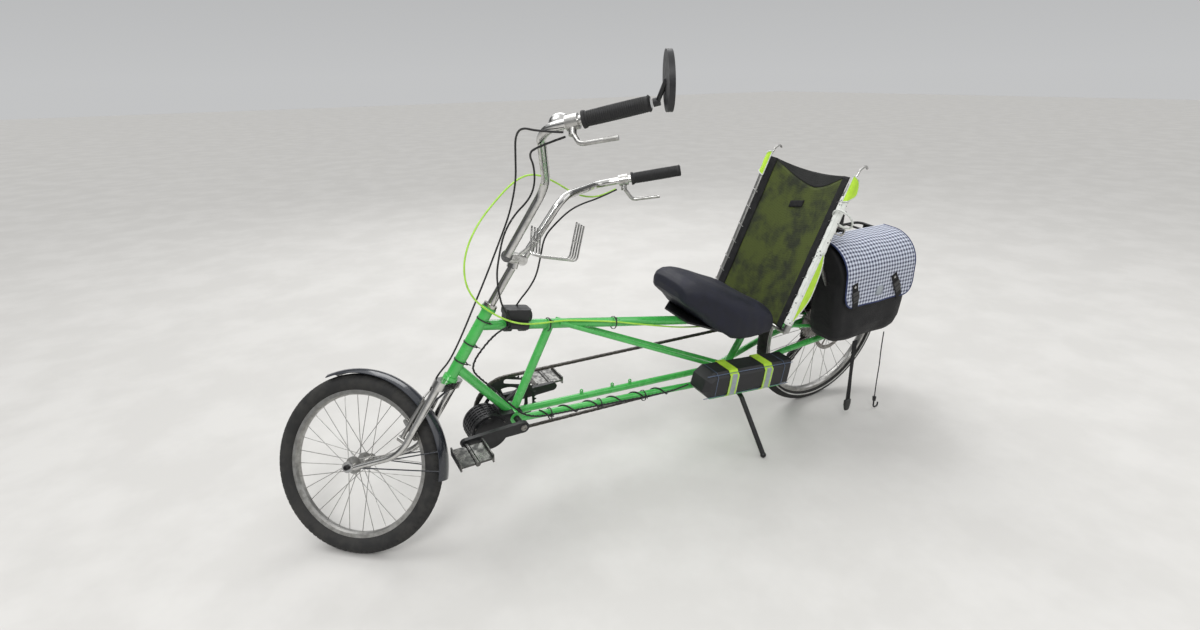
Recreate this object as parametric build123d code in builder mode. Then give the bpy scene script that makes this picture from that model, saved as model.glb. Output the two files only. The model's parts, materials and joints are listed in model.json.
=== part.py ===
from build123d import *
import os
from math import acos, atan2, cos, degrees, pi, radians, sin, sqrt, tan

# Long-wheelbase recumbent bicycle with a mid-drive motor, parked on its side stand.
# Design frame: X forward from the rear axle, Y to the rider's left, Z up from the tyre bottoms,
# with the steering straight. The last section turns the steering, leans the bicycle on its stand
# and puts the origin under the middle of the whole. All lengths are in millimetres.
os.makedirs("parts", exist_ok=True)

# Wheels and steering geometry
WHEELBASE = 1740.0
FRONT_BEAD_RADIUS = 203.0
FRONT_TYRE_WIDTH = 47.0
FRONT_TYRE_HEIGHT = 47.0
FRONT_RADIUS = FRONT_BEAD_RADIUS + FRONT_TYRE_HEIGHT
REAR_BEAD_RADIUS = 279.5
REAR_TYRE_WIDTH = 40.0
REAR_TYRE_HEIGHT = 38.5
REAR_RADIUS = REAR_BEAD_RADIUS + REAR_TYRE_HEIGHT
BEAD_DEPTH = 1.5
RIM_WIDTH = 25.0
RIM_HEIGHT = 17.0
HEAD_ANGLE = 57.0
FORK_OFFSET = 112.0
STEER_ANGLE = -49.5
STEER_RANGE = 99.0
LEAN_ANGLE = 5.25

# Frame tubes, outside radii
HEAD_TUBE_RADIUS = 16.0
TOP_TUBE_RADIUS = 14.3
DOWN_TUBE_RADIUS = 13.5
RISER_RADIUS = 12.7
LOWER_TUBE_RADIUS = 11.1
MID_STAY_RADIUS = 7.0
SEAT_STAY_RADIUS = 7.0
UPRIGHT_RADIUS = 12.7

# Places along the steering axis, measured up from its foot
HEAD_LOW = 353.0
HEAD_HIGH = 557.0
CUP_HEIGHT = 11.0
CUP_RADIUS = 20.5
HEADSET_GAP = 0.5

# Drive
BB_X = 1284.0
BB_Z = 314.5
BB_RADIUS = 20.0
BB_WIDTH = 68.0
SPINDLE_RADIUS = 9.0
SPINDLE_GAP = 0.4
CHAIN_PITCH = 12.7
CHAIN_WIDTH = 7.0
CHAIN_HEIGHT = 8.4
CHAIN_SEAT = 4.6
PLATE_THICK = 0.7
INNER_PLATE_THICK = 0.9
ROLLER_RADIUS = 3.9
TOOTH_RISE = 2.0
TOOTH_GAP = 0.6
RING_THICK = 2.4
COG_THICK = 2.0
RING_TEETH = 48
COG_TEETH = 24
CHAIN_Y = -46.0
CRANK_LENGTH = 170.0
CRANK_ANGLE = 0.0
PEDAL_FACE_Y = 88.0
PEDAL_WIDTH = 94.0
PEDAL_LENGTH = 92.0

steer_up = Vector(-cos(radians(HEAD_ANGLE)), 0, sin(radians(HEAD_ANGLE)))
steer_fore = Vector(sin(radians(HEAD_ANGLE)), 0, cos(radians(HEAD_ANGLE)))
front_axle = Vector(WHEELBASE, 0, FRONT_RADIUS)
rear_axle = Vector(0, 0, REAR_RADIUS)
steer_foot = front_axle - steer_fore * FORK_OFFSET
bb = Vector(BB_X, 0, BB_Z)
left = Vector(0, 1, 0)

bodies = ("frame", "steering", "front_wheel", "rear_wheel", "crankset",
          "pedal_left", "pedal_right", "kickstand")
groups = {body: [] for body in bodies}


def on_steer(up, fore=0.0, aside=0.0):
    """A point by its distance up the steering axis, ahead of it and to its left."""
    return steer_foot + steer_up * up + steer_fore * fore + left * aside


def at_y(point, y):
    return Vector(point.X, y, point.Z)


def bar(start, end, radius, end_radius=None):
    """A straight round bar or cone between two points."""
    start, end = Vector(start), Vector(end)
    with BuildPart() as made:
        with BuildSketch(Plane(origin=start, z_dir=end - start)):
            Circle(radius)
        if end_radius is None:
            extrude(amount=(end - start).length)
        else:
            with BuildSketch(Plane(origin=end, z_dir=end - start)):
                Circle(end_radius)
            loft()
    return made.part


def bent_bar(points, radius, radii):
    """A round bar along straight runs joined by tangent arcs."""
    with BuildPart() as made:
        with BuildLine() as path:
            FilletPolyline(*[Vector(p) for p in points], radius=radii)
        with BuildSketch(Plane(origin=path.line @ 0, z_dir=path.line % 0)):
            Circle(radius)
        sweep(path=path.line)
    return made.part


def tapered_bar(points, radius, end_radius, radii):
    """A round bar along straight runs joined by tangent arcs, thinner towards its end."""
    with BuildPart() as made:
        with BuildLine() as path:
            FilletPolyline(*[Vector(p) for p in points], radius=radii)
        with BuildSketch(Plane(origin=path.line @ 0, z_dir=path.line % 0)):
            Circle(radius)
        with BuildSketch(Plane(origin=path.line @ 1, z_dir=path.line % 1)):
            Circle(end_radius)
        sweep(path=path.line, multisection=True)
    return made.part


def gentle_radii(points, share=0.45):
    """The largest arc for each corner of a route: a share of its shorter run over the half turn's tangent."""
    radii = []
    for before, here, after in zip(points, points[1:], points[2:]):
        into, out = Vector(here) - Vector(before), Vector(after) - Vector(here)
        turn = radians(into.get_angle(out))
        radii.append(share * min(into.length, out.length) / tan(turn / 2))
    return radii


def cable(points, radius):
    """A cable along its route, in arcs as large as the runs allow."""
    return bent_bar(points, radius, gentle_radii(points))


def side_disc(centre, radius, y_from, y_to, bore=0.0):
    """A disc or ring about an axis along Y."""
    with BuildPart() as made:
        with BuildSketch(Plane(origin=at_y(centre, y_from), x_dir=(1, 0, 0), z_dir=(0, 1, 0))):
            Circle(radius)
            if bore:
                Circle(bore, mode=Mode.SUBTRACT)
        extrude(amount=y_to - y_from)
    return made.part


def largest(made, count=1):
    """The biggest solids of a cut piece, as a part of their own."""
    with BuildPart() as kept:
        add(made.part.solids().sort_by(SortBy.VOLUME)[-count:])
    return kept.part


def keep(part, label, body):
    part.label = label
    groups[body].append(part)
    return part


def pitch_radius(teeth):
    return CHAIN_PITCH / (2 * sin(pi / teeth))


def toothed_disc(centre, teeth, y, thick):
    """A sprocket whose teeth stand between the chain's plates, with roots at the rollers."""
    root, tip = pitch_radius(teeth) - ROLLER_RADIUS, pitch_radius(teeth) + TOOTH_RISE
    pitch_turn = 2 * pi / teeth
    # radius and place within one tooth's turn, as a share of it
    profile = ((root, 0.0), (root, 0.24), (tip, 0.40), (tip, 0.60), (root, 0.76))
    points = [(reach * cos(pitch_turn * (index + place)), reach * sin(pitch_turn * (index + place)))
              for index in range(teeth) for reach, place in profile]
    with BuildPart() as made:
        with BuildSketch(Plane(origin=at_y(centre, y - thick / 2), x_dir=(1, 0, 0), z_dir=(0, 1, 0))):
            with BuildLine():
                Polyline(*points, close=True)
            make_face()
        extrude(amount=thick)
    return made.part


# Head tube with its headset cups
with BuildPart() as head_tube:
    add(bar(on_steer(HEAD_LOW), on_steer(HEAD_HIGH), HEAD_TUBE_RADIUS))
    for low, high in ((HEAD_LOW - CUP_HEIGHT, HEAD_LOW), (HEAD_HIGH, HEAD_HIGH + CUP_HEIGHT)):
        with BuildSketch(Plane(origin=on_steer(low), z_dir=steer_up)):
            Circle(CUP_RADIUS)
        extrude(amount=high - low)
keep(head_tube.part, "head_tube", "frame")

# Bottom bracket shell
with BuildPart() as bottom_bracket:
    add(side_disc(bb, BB_RADIUS, -BB_WIDTH / 2, BB_WIDTH / 2, bore=SPINDLE_RADIUS + SPINDLE_GAP))
    chamfer(bottom_bracket.edges().filter_by(GeomType.CIRCLE).group_by(SortBy.RADIUS)[-1], 1.5)
keep(bottom_bracket.part, "bottom_bracket", "frame")

# Main tubes, each coped to the tubes before it
TOP_FRONT = on_steer(512.0)
TOP_REAR = Vector(372, 0, 426)
RISER_TOP = Vector(1150, 0, 594)
UPRIGHT_FOOT = Vector(478, 0, 240)
DOWN_TUBE_UP = 381.0

with BuildPart() as top_cut:
    add(bar(TOP_FRONT, TOP_REAR, TOP_TUBE_RADIUS))
    add(head_tube.part, mode=Mode.SUBTRACT)
top_tube = keep(largest(top_cut), "top_tube", "frame")

with BuildPart() as down_cut:
    add(bar(on_steer(DOWN_TUBE_UP), bb, DOWN_TUBE_RADIUS))
    add(head_tube.part, mode=Mode.SUBTRACT)
    add(bottom_bracket.part, mode=Mode.SUBTRACT)
down_tube = keep(largest(down_cut), "down_tube", "frame")

with BuildPart() as riser_cut:
    add(bar(bb, RISER_TOP, RISER_RADIUS))
    for met in (bottom_bracket.part, top_tube, down_tube):
        add(met, mode=Mode.SUBTRACT)
riser_tube = keep(largest(riser_cut), "riser_tube", "frame")

# Twin lower tubes from the bottom bracket to the stand bridge, then stays to the dropouts
LOWER_FRONT = Vector(1268, 21, 303)
LOWER_REAR = Vector(500, 41, 236)
STAY_BEND = Vector(250, 55, 292)
DROPOUT_Y = 68.0
DROPOUT_THICK = 6.0

with BuildPart() as lower_cut:
    for side in (1, -1):
        front = at_y(LOWER_FRONT, side * LOWER_FRONT.Y)
        add(bar(front, at_y(LOWER_REAR, side * LOWER_REAR.Y), LOWER_TUBE_RADIUS))
    for met in (bottom_bracket.part, riser_tube, down_tube):
        add(met, mode=Mode.SUBTRACT)
    add(bar(at_y(LOWER_REAR, -LOWER_REAR.Y), LOWER_REAR, LOWER_TUBE_RADIUS))
lower_tubes = keep(largest(lower_cut), "lower_tubes", "frame")

with BuildPart() as stay_cut:
    for side in (1, -1):
        add(bent_bar((at_y(LOWER_REAR, side * LOWER_REAR.Y), at_y(STAY_BEND, side * STAY_BEND.Y),
                      (26, side * DROPOUT_Y, REAR_RADIUS - 3)), LOWER_TUBE_RADIUS, [260]))
        with BuildSketch(Plane(origin=(0, side * DROPOUT_Y + DROPOUT_THICK / 2, REAR_RADIUS),
                               x_dir=(1, 0, 0), z_dir=(0, -1, 0))):
            with BuildLine():
                Polyline((30, -12), (30, 13), (8, 34), (-16, 30), (-18, -16), (-6, -22), close=True)
            make_face()
            Circle(5.2, mode=Mode.SUBTRACT)
        extrude(amount=DROPOUT_THICK)
    add(lower_tubes, mode=Mode.SUBTRACT)
chainstays = keep(largest(stay_cut, 2), "chainstays", "frame")

# Rear upright between the bridge and the back end of the top tube
with BuildPart() as upright_cut:
    add(bar(UPRIGHT_FOOT, TOP_REAR + Vector(-6, 0, 12), UPRIGHT_RADIUS))
    add(top_tube, mode=Mode.SUBTRACT)
    add(lower_tubes, mode=Mode.SUBTRACT)
rear_upright = keep(largest(upright_cut), "rear_upright", "frame")

# Thin stays: mid stays from the riser joint to the bridge, seat stays to the dropouts
MID_FRONT = Vector(1132, 13, 580)
MID_REAR = Vector(470, 30, 258)
SEAT_STAY_TOP = Vector(385, 12, 424)
SEAT_STAY_BEND = Vector(215, 62, 389)
SEAT_STAY_LOW = Vector(6, 64, REAR_RADIUS + 26)

with BuildPart() as mid_cut:
    for side in (1, -1):
        add(bar(at_y(MID_FRONT, side * MID_FRONT.Y), at_y(MID_REAR, side * MID_REAR.Y), MID_STAY_RADIUS))
    for met in (top_tube, riser_tube, rear_upright, lower_tubes):
        add(met, mode=Mode.SUBTRACT)
keep(largest(mid_cut, 2), "mid_stays", "frame")

with BuildPart() as seat_stay_cut:
    for side in (1, -1):
        add(bent_bar([at_y(p, side * p.Y) for p in (SEAT_STAY_TOP, SEAT_STAY_BEND, SEAT_STAY_LOW)],
                     SEAT_STAY_RADIUS, [150]))
    for met in (top_tube, rear_upright, chainstays):
        add(met, mode=Mode.SUBTRACT)
seat_stays = keep(largest(seat_stay_cut, 2), "seat_stays", "frame")

# Wheels: a tyre, a rim and a hub with its spokes
SPOKES = 32
SPOKE_RADIUS = 1.0
HUB_CORE_RADIUS = 13.0
FLANGE_RADIUS = 24.0
FLANGE_Y = 29.0
AXLE_RADIUS = 4.8


def section_half(radius, bead):
    """Half of a tyre section's height, from the tread down to just inside the bead seat."""
    return (radius - bead + BEAD_DEPTH) / 2


def wheel(prefix, body, centre, radius, width, bead, axle_half):
    """Tyre, rim and laced hub of one wheel; the tyre is a ring pinched at its beads."""
    half_height = section_half(radius, bead)
    middle = radius - half_height
    with BuildPart() as tyre:
        with BuildSketch(Plane(origin=centre, x_dir=(1, 0, 0), z_dir=(0, 1, 0)).rotated((90, 0, 0))):
            with Locations((middle, 0)):
                Ellipse(half_height, width / 2)
            with Locations((bead, 0)):
                Rectangle(2 * (middle - bead), RIM_WIDTH, mode=Mode.SUBTRACT)
            with Locations((bead - 30, 0)):
                Rectangle(60, 2 * width, mode=Mode.SUBTRACT)
        revolve(axis=Axis(centre, (0, 1, 0)))
    keep(tyre.part, prefix + "_tyre", body)
    half = RIM_WIDTH / 2
    with BuildPart() as rim:
        with BuildSketch(Plane(origin=centre, x_dir=(1, 0, 0), z_dir=(0, 1, 0)).rotated((90, 0, 0))):
            with BuildLine():
                Polyline((bead + 5, half), (bead - 8, half), (bead - RIM_HEIGHT + 5, half * 0.45),
                         (bead - RIM_HEIGHT + 5, -half * 0.45), (bead - 8, -half), (bead + 5, -half),
                         (bead + 5, -half + 2), (bead - 4, -half + 2), (bead - 4, half - 2),
                         (bead + 5, half - 2), close=True)
            make_face()
        revolve(axis=Axis(centre, (0, 1, 0)))
        add(tyre.part, mode=Mode.SUBTRACT)
    keep(largest(rim), prefix + "_rim", body)
    rim_bed = bead - RIM_HEIGHT + 5
    with BuildPart() as hub:
        add(side_disc(centre, HUB_CORE_RADIUS, -FLANGE_Y, FLANGE_Y))
        for y in (-FLANGE_Y, FLANGE_Y - 3):
            add(side_disc(centre, FLANGE_RADIUS, y, y + 3))
        add(side_disc(centre, AXLE_RADIUS, -axle_half, axle_half))
        for index in range(SPOKES):
            side = 1 if index % 2 else -1
            turn = 2 * pi * index / SPOKES
            lace = turn + side * radians(38) * (1 if index % 4 < 2 else -1)
            out = Vector(cos(turn), 0, sin(turn)) * (rim_bed + 0.5)
            inner = Vector(cos(lace), 0, sin(lace)) * (FLANGE_RADIUS - 3)
            add(bar(centre + inner + left * side * (FLANGE_Y - 1.5), centre + out + left * side * 2,
                    SPOKE_RADIUS))
        add(rim.part, mode=Mode.SUBTRACT)
    keep(largest(hub), prefix + "_hub", body)


wheel("front", "front_wheel", front_axle, FRONT_RADIUS, FRONT_TYRE_WIDTH, FRONT_BEAD_RADIUS, 56.0)
wheel("rear", "rear_wheel", rear_axle, REAR_RADIUS, REAR_TYRE_WIDTH, REAR_BEAD_RADIUS, 76.0)

# Fork: steerer, crown and two raked blades, with dropouts outside the hub
BLADE_Y = 50.0
BLADE_RADIUS = 11.0
BLADE_TIP_RADIUS = 7.0
EYE_OUT = 59.0
CROWN_LOW = 318.0
CROWN_HIGH = HEAD_LOW - CUP_HEIGHT - HEADSET_GAP
BLADE_BEND_UP = 108.0
STEERER_TOP = HEAD_HIGH + CUP_HEIGHT + HEADSET_GAP

with BuildPart() as fork:
    with BuildSketch(Plane(origin=on_steer(CROWN_LOW), x_dir=left, z_dir=steer_up)):
        SlotOverall(2 * BLADE_Y + 30, 34)
    extrude(amount=CROWN_HIGH - CROWN_LOW)
    for side in (1, -1):
        add(tapered_bar((on_steer(CROWN_HIGH - 6, 0, side * BLADE_Y), on_steer(BLADE_BEND_UP, 0, side * BLADE_Y),
                         on_steer(6, FORK_OFFSET - 14, side * BLADE_Y)), BLADE_RADIUS, BLADE_TIP_RADIUS, [110]))
        add(side_disc(front_axle, 15, side * (EYE_OUT - 6), side * EYE_OUT, bore=5.0))
keep(fork.part, "fork", "steering")

# Stem: the tall quill riser and the twin clamp for the bar legs
STEM_BEND = on_steer(690.0, -2.0)
CLAMP_CENTRE = on_steer(716.0, 4.0)
LEG_Y = 58.0
LEG_RADIUS = 11.1

with BuildPart() as stem:
    add(bar(on_steer(STEERER_TOP), on_steer(STEERER_TOP + 9), 19))
    add(bar(on_steer(STEERER_TOP + 9), STEM_BEND, 11.1))
    add(bar(STEM_BEND, CLAMP_CENTRE, 15))
    add(bar(at_y(CLAMP_CENTRE, -LEG_Y), at_y(CLAMP_CENTRE, LEG_Y), 16))
keep(stem.part, "stem", "steering")

# Handlebar: two legs that rise and lean back, spread, and end in grips that point rearward
BAR_FRONT = Vector(1140, 76, 960)
BAR_SPREAD = Vector(1085, 286, 1032)
GRIP_END = Vector(838, 306, 1056)
GRIP_START = BAR_SPREAD + (GRIP_END - BAR_SPREAD) * 0.4

with BuildPart() as handlebar:
    for side in (1, -1):
        points = [at_y(p, side * y) for p, y in (
            (CLAMP_CENTRE, LEG_Y), (BAR_FRONT, BAR_FRONT.Y), (BAR_SPREAD, BAR_SPREAD.Y),
            (GRIP_END, GRIP_END.Y))]
        add(bent_bar(points, LEG_RADIUS, [70, 60]))
    add(stem.part, mode=Mode.SUBTRACT)
handlebar_pair = keep(largest(handlebar, 2), "handlebar", "steering")

grip_line = (GRIP_END - GRIP_START).normalized()


def mirrored(point, side):
    """The same point on the left, side 1, or on the right, side -1."""
    return Vector(point.X, side * point.Y, point.Z)


with BuildPart() as grips:
    for side in (1, -1):
        add(bar(mirrored(GRIP_START, side), mirrored(GRIP_END + grip_line * 4, side), 16.5))
    add(handlebar_pair, mode=Mode.SUBTRACT)
keep(grips.part, "grips", "steering")

with BuildPart() as brake_levers:
    for side in (1, -1):
        hood = mirrored(GRIP_START - grip_line * 24, side)
        hood_line = mirrored(grip_line, side)
        add(bar(hood - hood_line * 14, hood + hood_line * 14, 17))
        add(bent_bar((hood + Vector(0, side * 4, -24), hood + Vector(-20, side * 26, -56),
                      hood + Vector(-104, side * 30, -52)), 5.5, [18]))
        add(bar(hood, hood + Vector(0, side * 4, -30), 9))
    add(handlebar_pair, mode=Mode.SUBTRACT)
keep(brake_levers.part, "brake_levers", "steering")

# Cranks, spindle and chainring
ring_pitch = pitch_radius(RING_TEETH)
cog_pitch = pitch_radius(COG_TEETH)
crank_way = Vector(cos(radians(CRANK_ANGLE)), 0, sin(radians(CRANK_ANGLE)))
pedal_axle_left = bb + crank_way * CRANK_LENGTH
pedal_axle_right = bb - crank_way * CRANK_LENGTH


def crank_arm(tip, y_inner):
    """A flat tapered arm from the spindle to a pedal eye."""
    with BuildPart() as made:
        with BuildSketch(Plane(origin=at_y(bb, y_inner), x_dir=(tip - bb), z_dir=(0, 1, 0))):
            with BuildLine():
                Polyline((0, 17), (CRANK_LENGTH, 13), (CRANK_LENGTH, -13), (0, -17), close=True)
            make_face()
            Circle(17)
            with Locations((CRANK_LENGTH, 0)):
                Circle(13)
        extrude(amount=CRANK_THICK if y_inner > 0 else -CRANK_THICK)
    return made.part


CRANK_THICK = 13.0
ARM_INNER_Y = 74.0
with BuildPart() as crankset:
    add(side_disc(bb, SPINDLE_RADIUS, -ARM_INNER_Y, ARM_INNER_Y))
    add(crank_arm(pedal_axle_left, ARM_INNER_Y))
    add(crank_arm(pedal_axle_right, -ARM_INNER_Y))
    for angle in range(0, 360, 72):
        way = Vector(cos(radians(angle)), 0, sin(radians(angle)))
        add(bar(at_y(bb, -58) + way * 6, at_y(bb, -58) + way * 66, 8, 6))
crank_solids = crankset.part
keep(crank_solids, "crankset", "crankset")

RING_BORE = 60.0
RING_SLOTS = 5
with BuildPart() as chainring:
    add(toothed_disc(bb, RING_TEETH, CHAIN_Y, RING_THICK))
    with BuildSketch(Plane(origin=at_y(bb, CHAIN_Y - RING_THICK), x_dir=(1, 0, 0), z_dir=(0, 1, 0))):
        Circle(RING_BORE)
        with PolarLocations((RING_BORE + ring_pitch) / 2 - 1, RING_SLOTS, start_angle=36):
            with Locations(Location((0, 0, 0), (0, 0, 90))):
                SlotOverall(RING_BORE, 15)
    extrude(amount=2 * RING_THICK, mode=Mode.SUBTRACT)
    add(crank_solids, mode=Mode.SUBTRACT)
keep(largest(chainring), "chainring", "crankset")

# Pedals: a spindle, a body and a steel cage
for side, axle, name in ((1, pedal_axle_left, "pedal_left"), (-1, pedal_axle_right, "pedal_right")):
    with BuildPart() as pedal:
        add(side_disc(axle, 7, side * PEDAL_FACE_Y, side * (PEDAL_FACE_Y + PEDAL_WIDTH)))
        with BuildSketch(Plane(origin=axle + left * side * (PEDAL_FACE_Y + 8), x_dir=(1, 0, 0), z_dir=(0, side, 0))):
            Rectangle(PEDAL_LENGTH, 24)
            Rectangle(PEDAL_LENGTH - 8, 34, mode=Mode.SUBTRACT)
            Rectangle(PEDAL_LENGTH, 6)
        extrude(amount=PEDAL_WIDTH - 12)
    keep(pedal.part, name, name)

# Cassette, brake rotor
with BuildPart() as cassette:
    for teeth, y in ((34, -33), (30, -37), (27, -41), (COG_TEETH, CHAIN_Y), (20, -50), (16, -54)):
        add(toothed_disc(rear_axle, teeth, y, COG_THICK))
    add(side_disc(rear_axle, 17, -60, -FLANGE_Y - 0.2))
    rear_hub = [piece for piece in groups["rear_wheel"] if piece.label == "rear_hub"][0]
    add(rear_hub, mode=Mode.SUBTRACT)
keep(largest(cassette), "cassette", "rear_wheel")

ROTOR_Y = 47.0
ROTOR_THICK = 2.0
ROTOR_RADIUS = 80.0
with BuildPart() as brake_rotor:
    with BuildSketch(Plane(origin=at_y(rear_axle, ROTOR_Y), x_dir=(1, 0, 0), z_dir=(0, 1, 0))):
        Circle(ROTOR_RADIUS)
        Circle(ROTOR_RADIUS - 16, mode=Mode.SUBTRACT)
        with PolarLocations(42, 6):
            Rectangle(50, 7)
        Circle(22)
    extrude(amount=ROTOR_THICK)
    add(side_disc(rear_axle, 17, FLANGE_Y + 0.2, ROTOR_Y))
    add(rear_hub, mode=Mode.SUBTRACT)
keep(largest(brake_rotor), "rear_rotor", "rear_wheel")

# Derailleur and its two pulleys, seen as one hanging arm
UPPER_PULLEY = Vector(22, 0, REAR_RADIUS - 74)
LOWER_PULLEY = Vector(86, 0, REAR_RADIUS - 136)
PULLEY_RADIUS = 20.0
with BuildPart() as derailleur:
    for pulley in (UPPER_PULLEY, LOWER_PULLEY):
        add(side_disc(pulley, PULLEY_RADIUS - CHAIN_SEAT, CHAIN_Y - 3, CHAIN_Y + 3))
        add(side_disc(pulley, 7, CHAIN_Y - 11, CHAIN_Y + 9))
    for y in (CHAIN_Y - 9, CHAIN_Y + 9):
        with BuildSketch(Plane(origin=at_y(UPPER_PULLEY, y - 1.5), x_dir=LOWER_PULLEY - UPPER_PULLEY, z_dir=(0, 1, 0))):
            with Locations(((LOWER_PULLEY - UPPER_PULLEY).length / 2, 0)):
                SlotOverall((LOWER_PULLEY - UPPER_PULLEY).length + 26, 22)
        extrude(amount=3)
    add(bar(at_y(UPPER_PULLEY, CHAIN_Y - 12), Vector(2, CHAIN_Y - 30, REAR_RADIUS - 34), 12, 9))
derailleur_part = keep(derailleur.part, "derailleur", "frame")

# Chain: one loop over the ring and the cog, down past the guide pulley and round the tension pulley
CHAIN_WHEELS = (
    # x, z, pitch radius, sense of travel
    (BB_X, BB_Z, ring_pitch, 1),
    (0.0, REAR_RADIUS, cog_pitch, 1),
    (UPPER_PULLEY.X, UPPER_PULLEY.Z, PULLEY_RADIUS, -1),
    (LOWER_PULLEY.X, LOWER_PULLEY.Z, PULLEY_RADIUS, 1),
)


def loop_runs(grow):
    """Straight runs between the wheels, as start and end points, for a line that far outside."""
    runs = []
    for index, (x1, z1, r1, s1) in enumerate(CHAIN_WHEELS):
        x2, z2, r2, s2 = CHAIN_WHEELS[(index + 1) % len(CHAIN_WHEELS)]
        reach1, reach2 = s1 * r1 + grow, s2 * r2 + grow
        dx, dz = x2 - x1, z2 - z1
        across = reach2 - reach1
        along = sqrt(dx * dx + dz * dz - across * across)
        way = atan2(dz, dx) - atan2(across, along)
        normal = (-sin(way), cos(way))
        runs.append(((x1 - reach1 * normal[0], z1 - reach1 * normal[1]),
                     (x2 - reach2 * normal[0], z2 - reach2 * normal[1])))
    return runs


def arc_middle(wheel, start, end, grow):
    """The middle point of the arc that the chain makes round one wheel."""
    x, z, radius, sense = wheel
    from_angle = atan2(start[1] - z, start[0] - x)
    sweep_angle = (sense * (atan2(end[1] - z, end[0] - x) - from_angle)) % (2 * pi)
    middle = from_angle + sense * sweep_angle / 2
    reach = radius + sense * grow
    return (x + reach * cos(middle), z + reach * sin(middle))


def loop_band(low, high, y_from, y_to):
    """A closed band along the chain, between two lines that far outside its pitch line."""
    with BuildPart() as made:
        with BuildSketch(Plane(origin=(0, y_to, 0), x_dir=(1, 0, 0), z_dir=(0, -1, 0))):
            for grow, mode in ((high, Mode.ADD), (low, Mode.SUBTRACT)):
                runs = loop_runs(grow)
                with BuildLine():
                    for index, (start, end) in enumerate(runs):
                        following = runs[(index + 1) % len(runs)]
                        Line(start, end)
                        next_wheel = CHAIN_WHEELS[(index + 1) % len(CHAIN_WHEELS)]
                        ThreePointArc(end, arc_middle(next_wheel, end, following[0], grow), following[0])
                make_face(mode=mode)
        extrude(amount=y_to - y_from)
    return made.part


def link_places(spacing):
    """Middle point and direction of each outer link, at about that spacing round the pitch line."""
    with BuildLine() as pitch_line:
        runs = loop_runs(0)
        for index, (start, end) in enumerate(runs):
            following = runs[(index + 1) % len(runs)]
            Line(start, end)
            next_wheel = CHAIN_WHEELS[(index + 1) % len(CHAIN_WHEELS)]
            ThreePointArc(end, arc_middle(next_wheel, end, following[0], 0), following[0])
    wire = pitch_line.wire()
    count = round(wire.length / spacing)
    return [(wire @ (index / count), wire % (index / count)) for index in range(count)]


# Inner plates as two bands joined on their outer side, with the rollers' core on the straight runs
plate_y = CHAIN_WIDTH / 2 - PLATE_THICK
slot_y = plate_y - INNER_PLATE_THICK
LINK_LENGTH = CHAIN_PITCH + 0.5 * CHAIN_HEIGHT
CORE_INSET = 30.0
with BuildPart() as chain:
    for y in (slot_y, -plate_y):
        add(loop_band(-CHAIN_HEIGHT / 2, CHAIN_HEIGHT / 2, CHAIN_Y + y, CHAIN_Y + y + INNER_PLATE_THICK))
    add(loop_band(TOOTH_RISE + TOOTH_GAP, CHAIN_HEIGHT / 2, CHAIN_Y - slot_y, CHAIN_Y + slot_y))
    for start, end in loop_runs(0):
        start, end = Vector(start[0], 0, start[1]), Vector(end[0], 0, end[1])
        run = end - start
        core_length = run.length - 2 * CORE_INSET
        if core_length > 0:
            with BuildSketch(Plane(origin=at_y(start + run * 0.5, CHAIN_Y - slot_y), x_dir=run, z_dir=(0, 1, 0))):
                Rectangle(core_length, CHAIN_HEIGHT)
            extrude(amount=2 * slot_y)
    for y in (plate_y, -plate_y - PLATE_THICK):
        with BuildSketch(Plane(origin=(0, CHAIN_Y + y + PLATE_THICK, 0), x_dir=(1, 0, 0), z_dir=(0, -1, 0))):
            for place, way in link_places(2 * CHAIN_PITCH):
                with Locations(Location((place.X, place.Y, 0), (0, 0, degrees(atan2(way.Y, way.X))))):
                    Rectangle(LINK_LENGTH, CHAIN_HEIGHT)
        extrude(amount=PLATE_THICK)
keep(largest(chain), "chain", "frame")

# Mid-drive motor: a finned drum ahead of the bottom bracket and the gear case that joins them
MOTOR_CENTRE = Vector(1366, 0, 292)
MOTOR_RADIUS = 56.0
MOTOR_Y = (-38.0, 36.0)
with BuildPart() as motor_made:
    add(side_disc(MOTOR_CENTRE, MOTOR_RADIUS, MOTOR_Y[0], MOTOR_Y[1]))
    add(side_disc(MOTOR_CENTRE, MOTOR_RADIUS - 7, MOTOR_Y[1], MOTOR_Y[1] + 6))
    for y in (-30, -18, -6, 6, 18):
        add(side_disc(MOTOR_CENTRE, MOTOR_RADIUS + 2, y, y + 5, bore=MOTOR_RADIUS - 4), mode=Mode.SUBTRACT)
    with BuildSketch(Plane(origin=(0, 33.8, 0), x_dir=(1, 0, 0), z_dir=(0, -1, 0))):
        with BuildLine():
            Polyline((BB_X - 20, BB_Z + 17), (BB_X + 44, BB_Z + 24), (BB_X + 70, BB_Z - 4),
                     (BB_X + 60, BB_Z - 58), (BB_X, BB_Z - 27), close=True)
        make_face()
    extrude(amount=67.6)
    for met in (bottom_bracket.part, down_tube, riser_tube, lower_tubes):
        add(met, mode=Mode.SUBTRACT)
keep(largest(motor_made), "motor", "frame")

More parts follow.
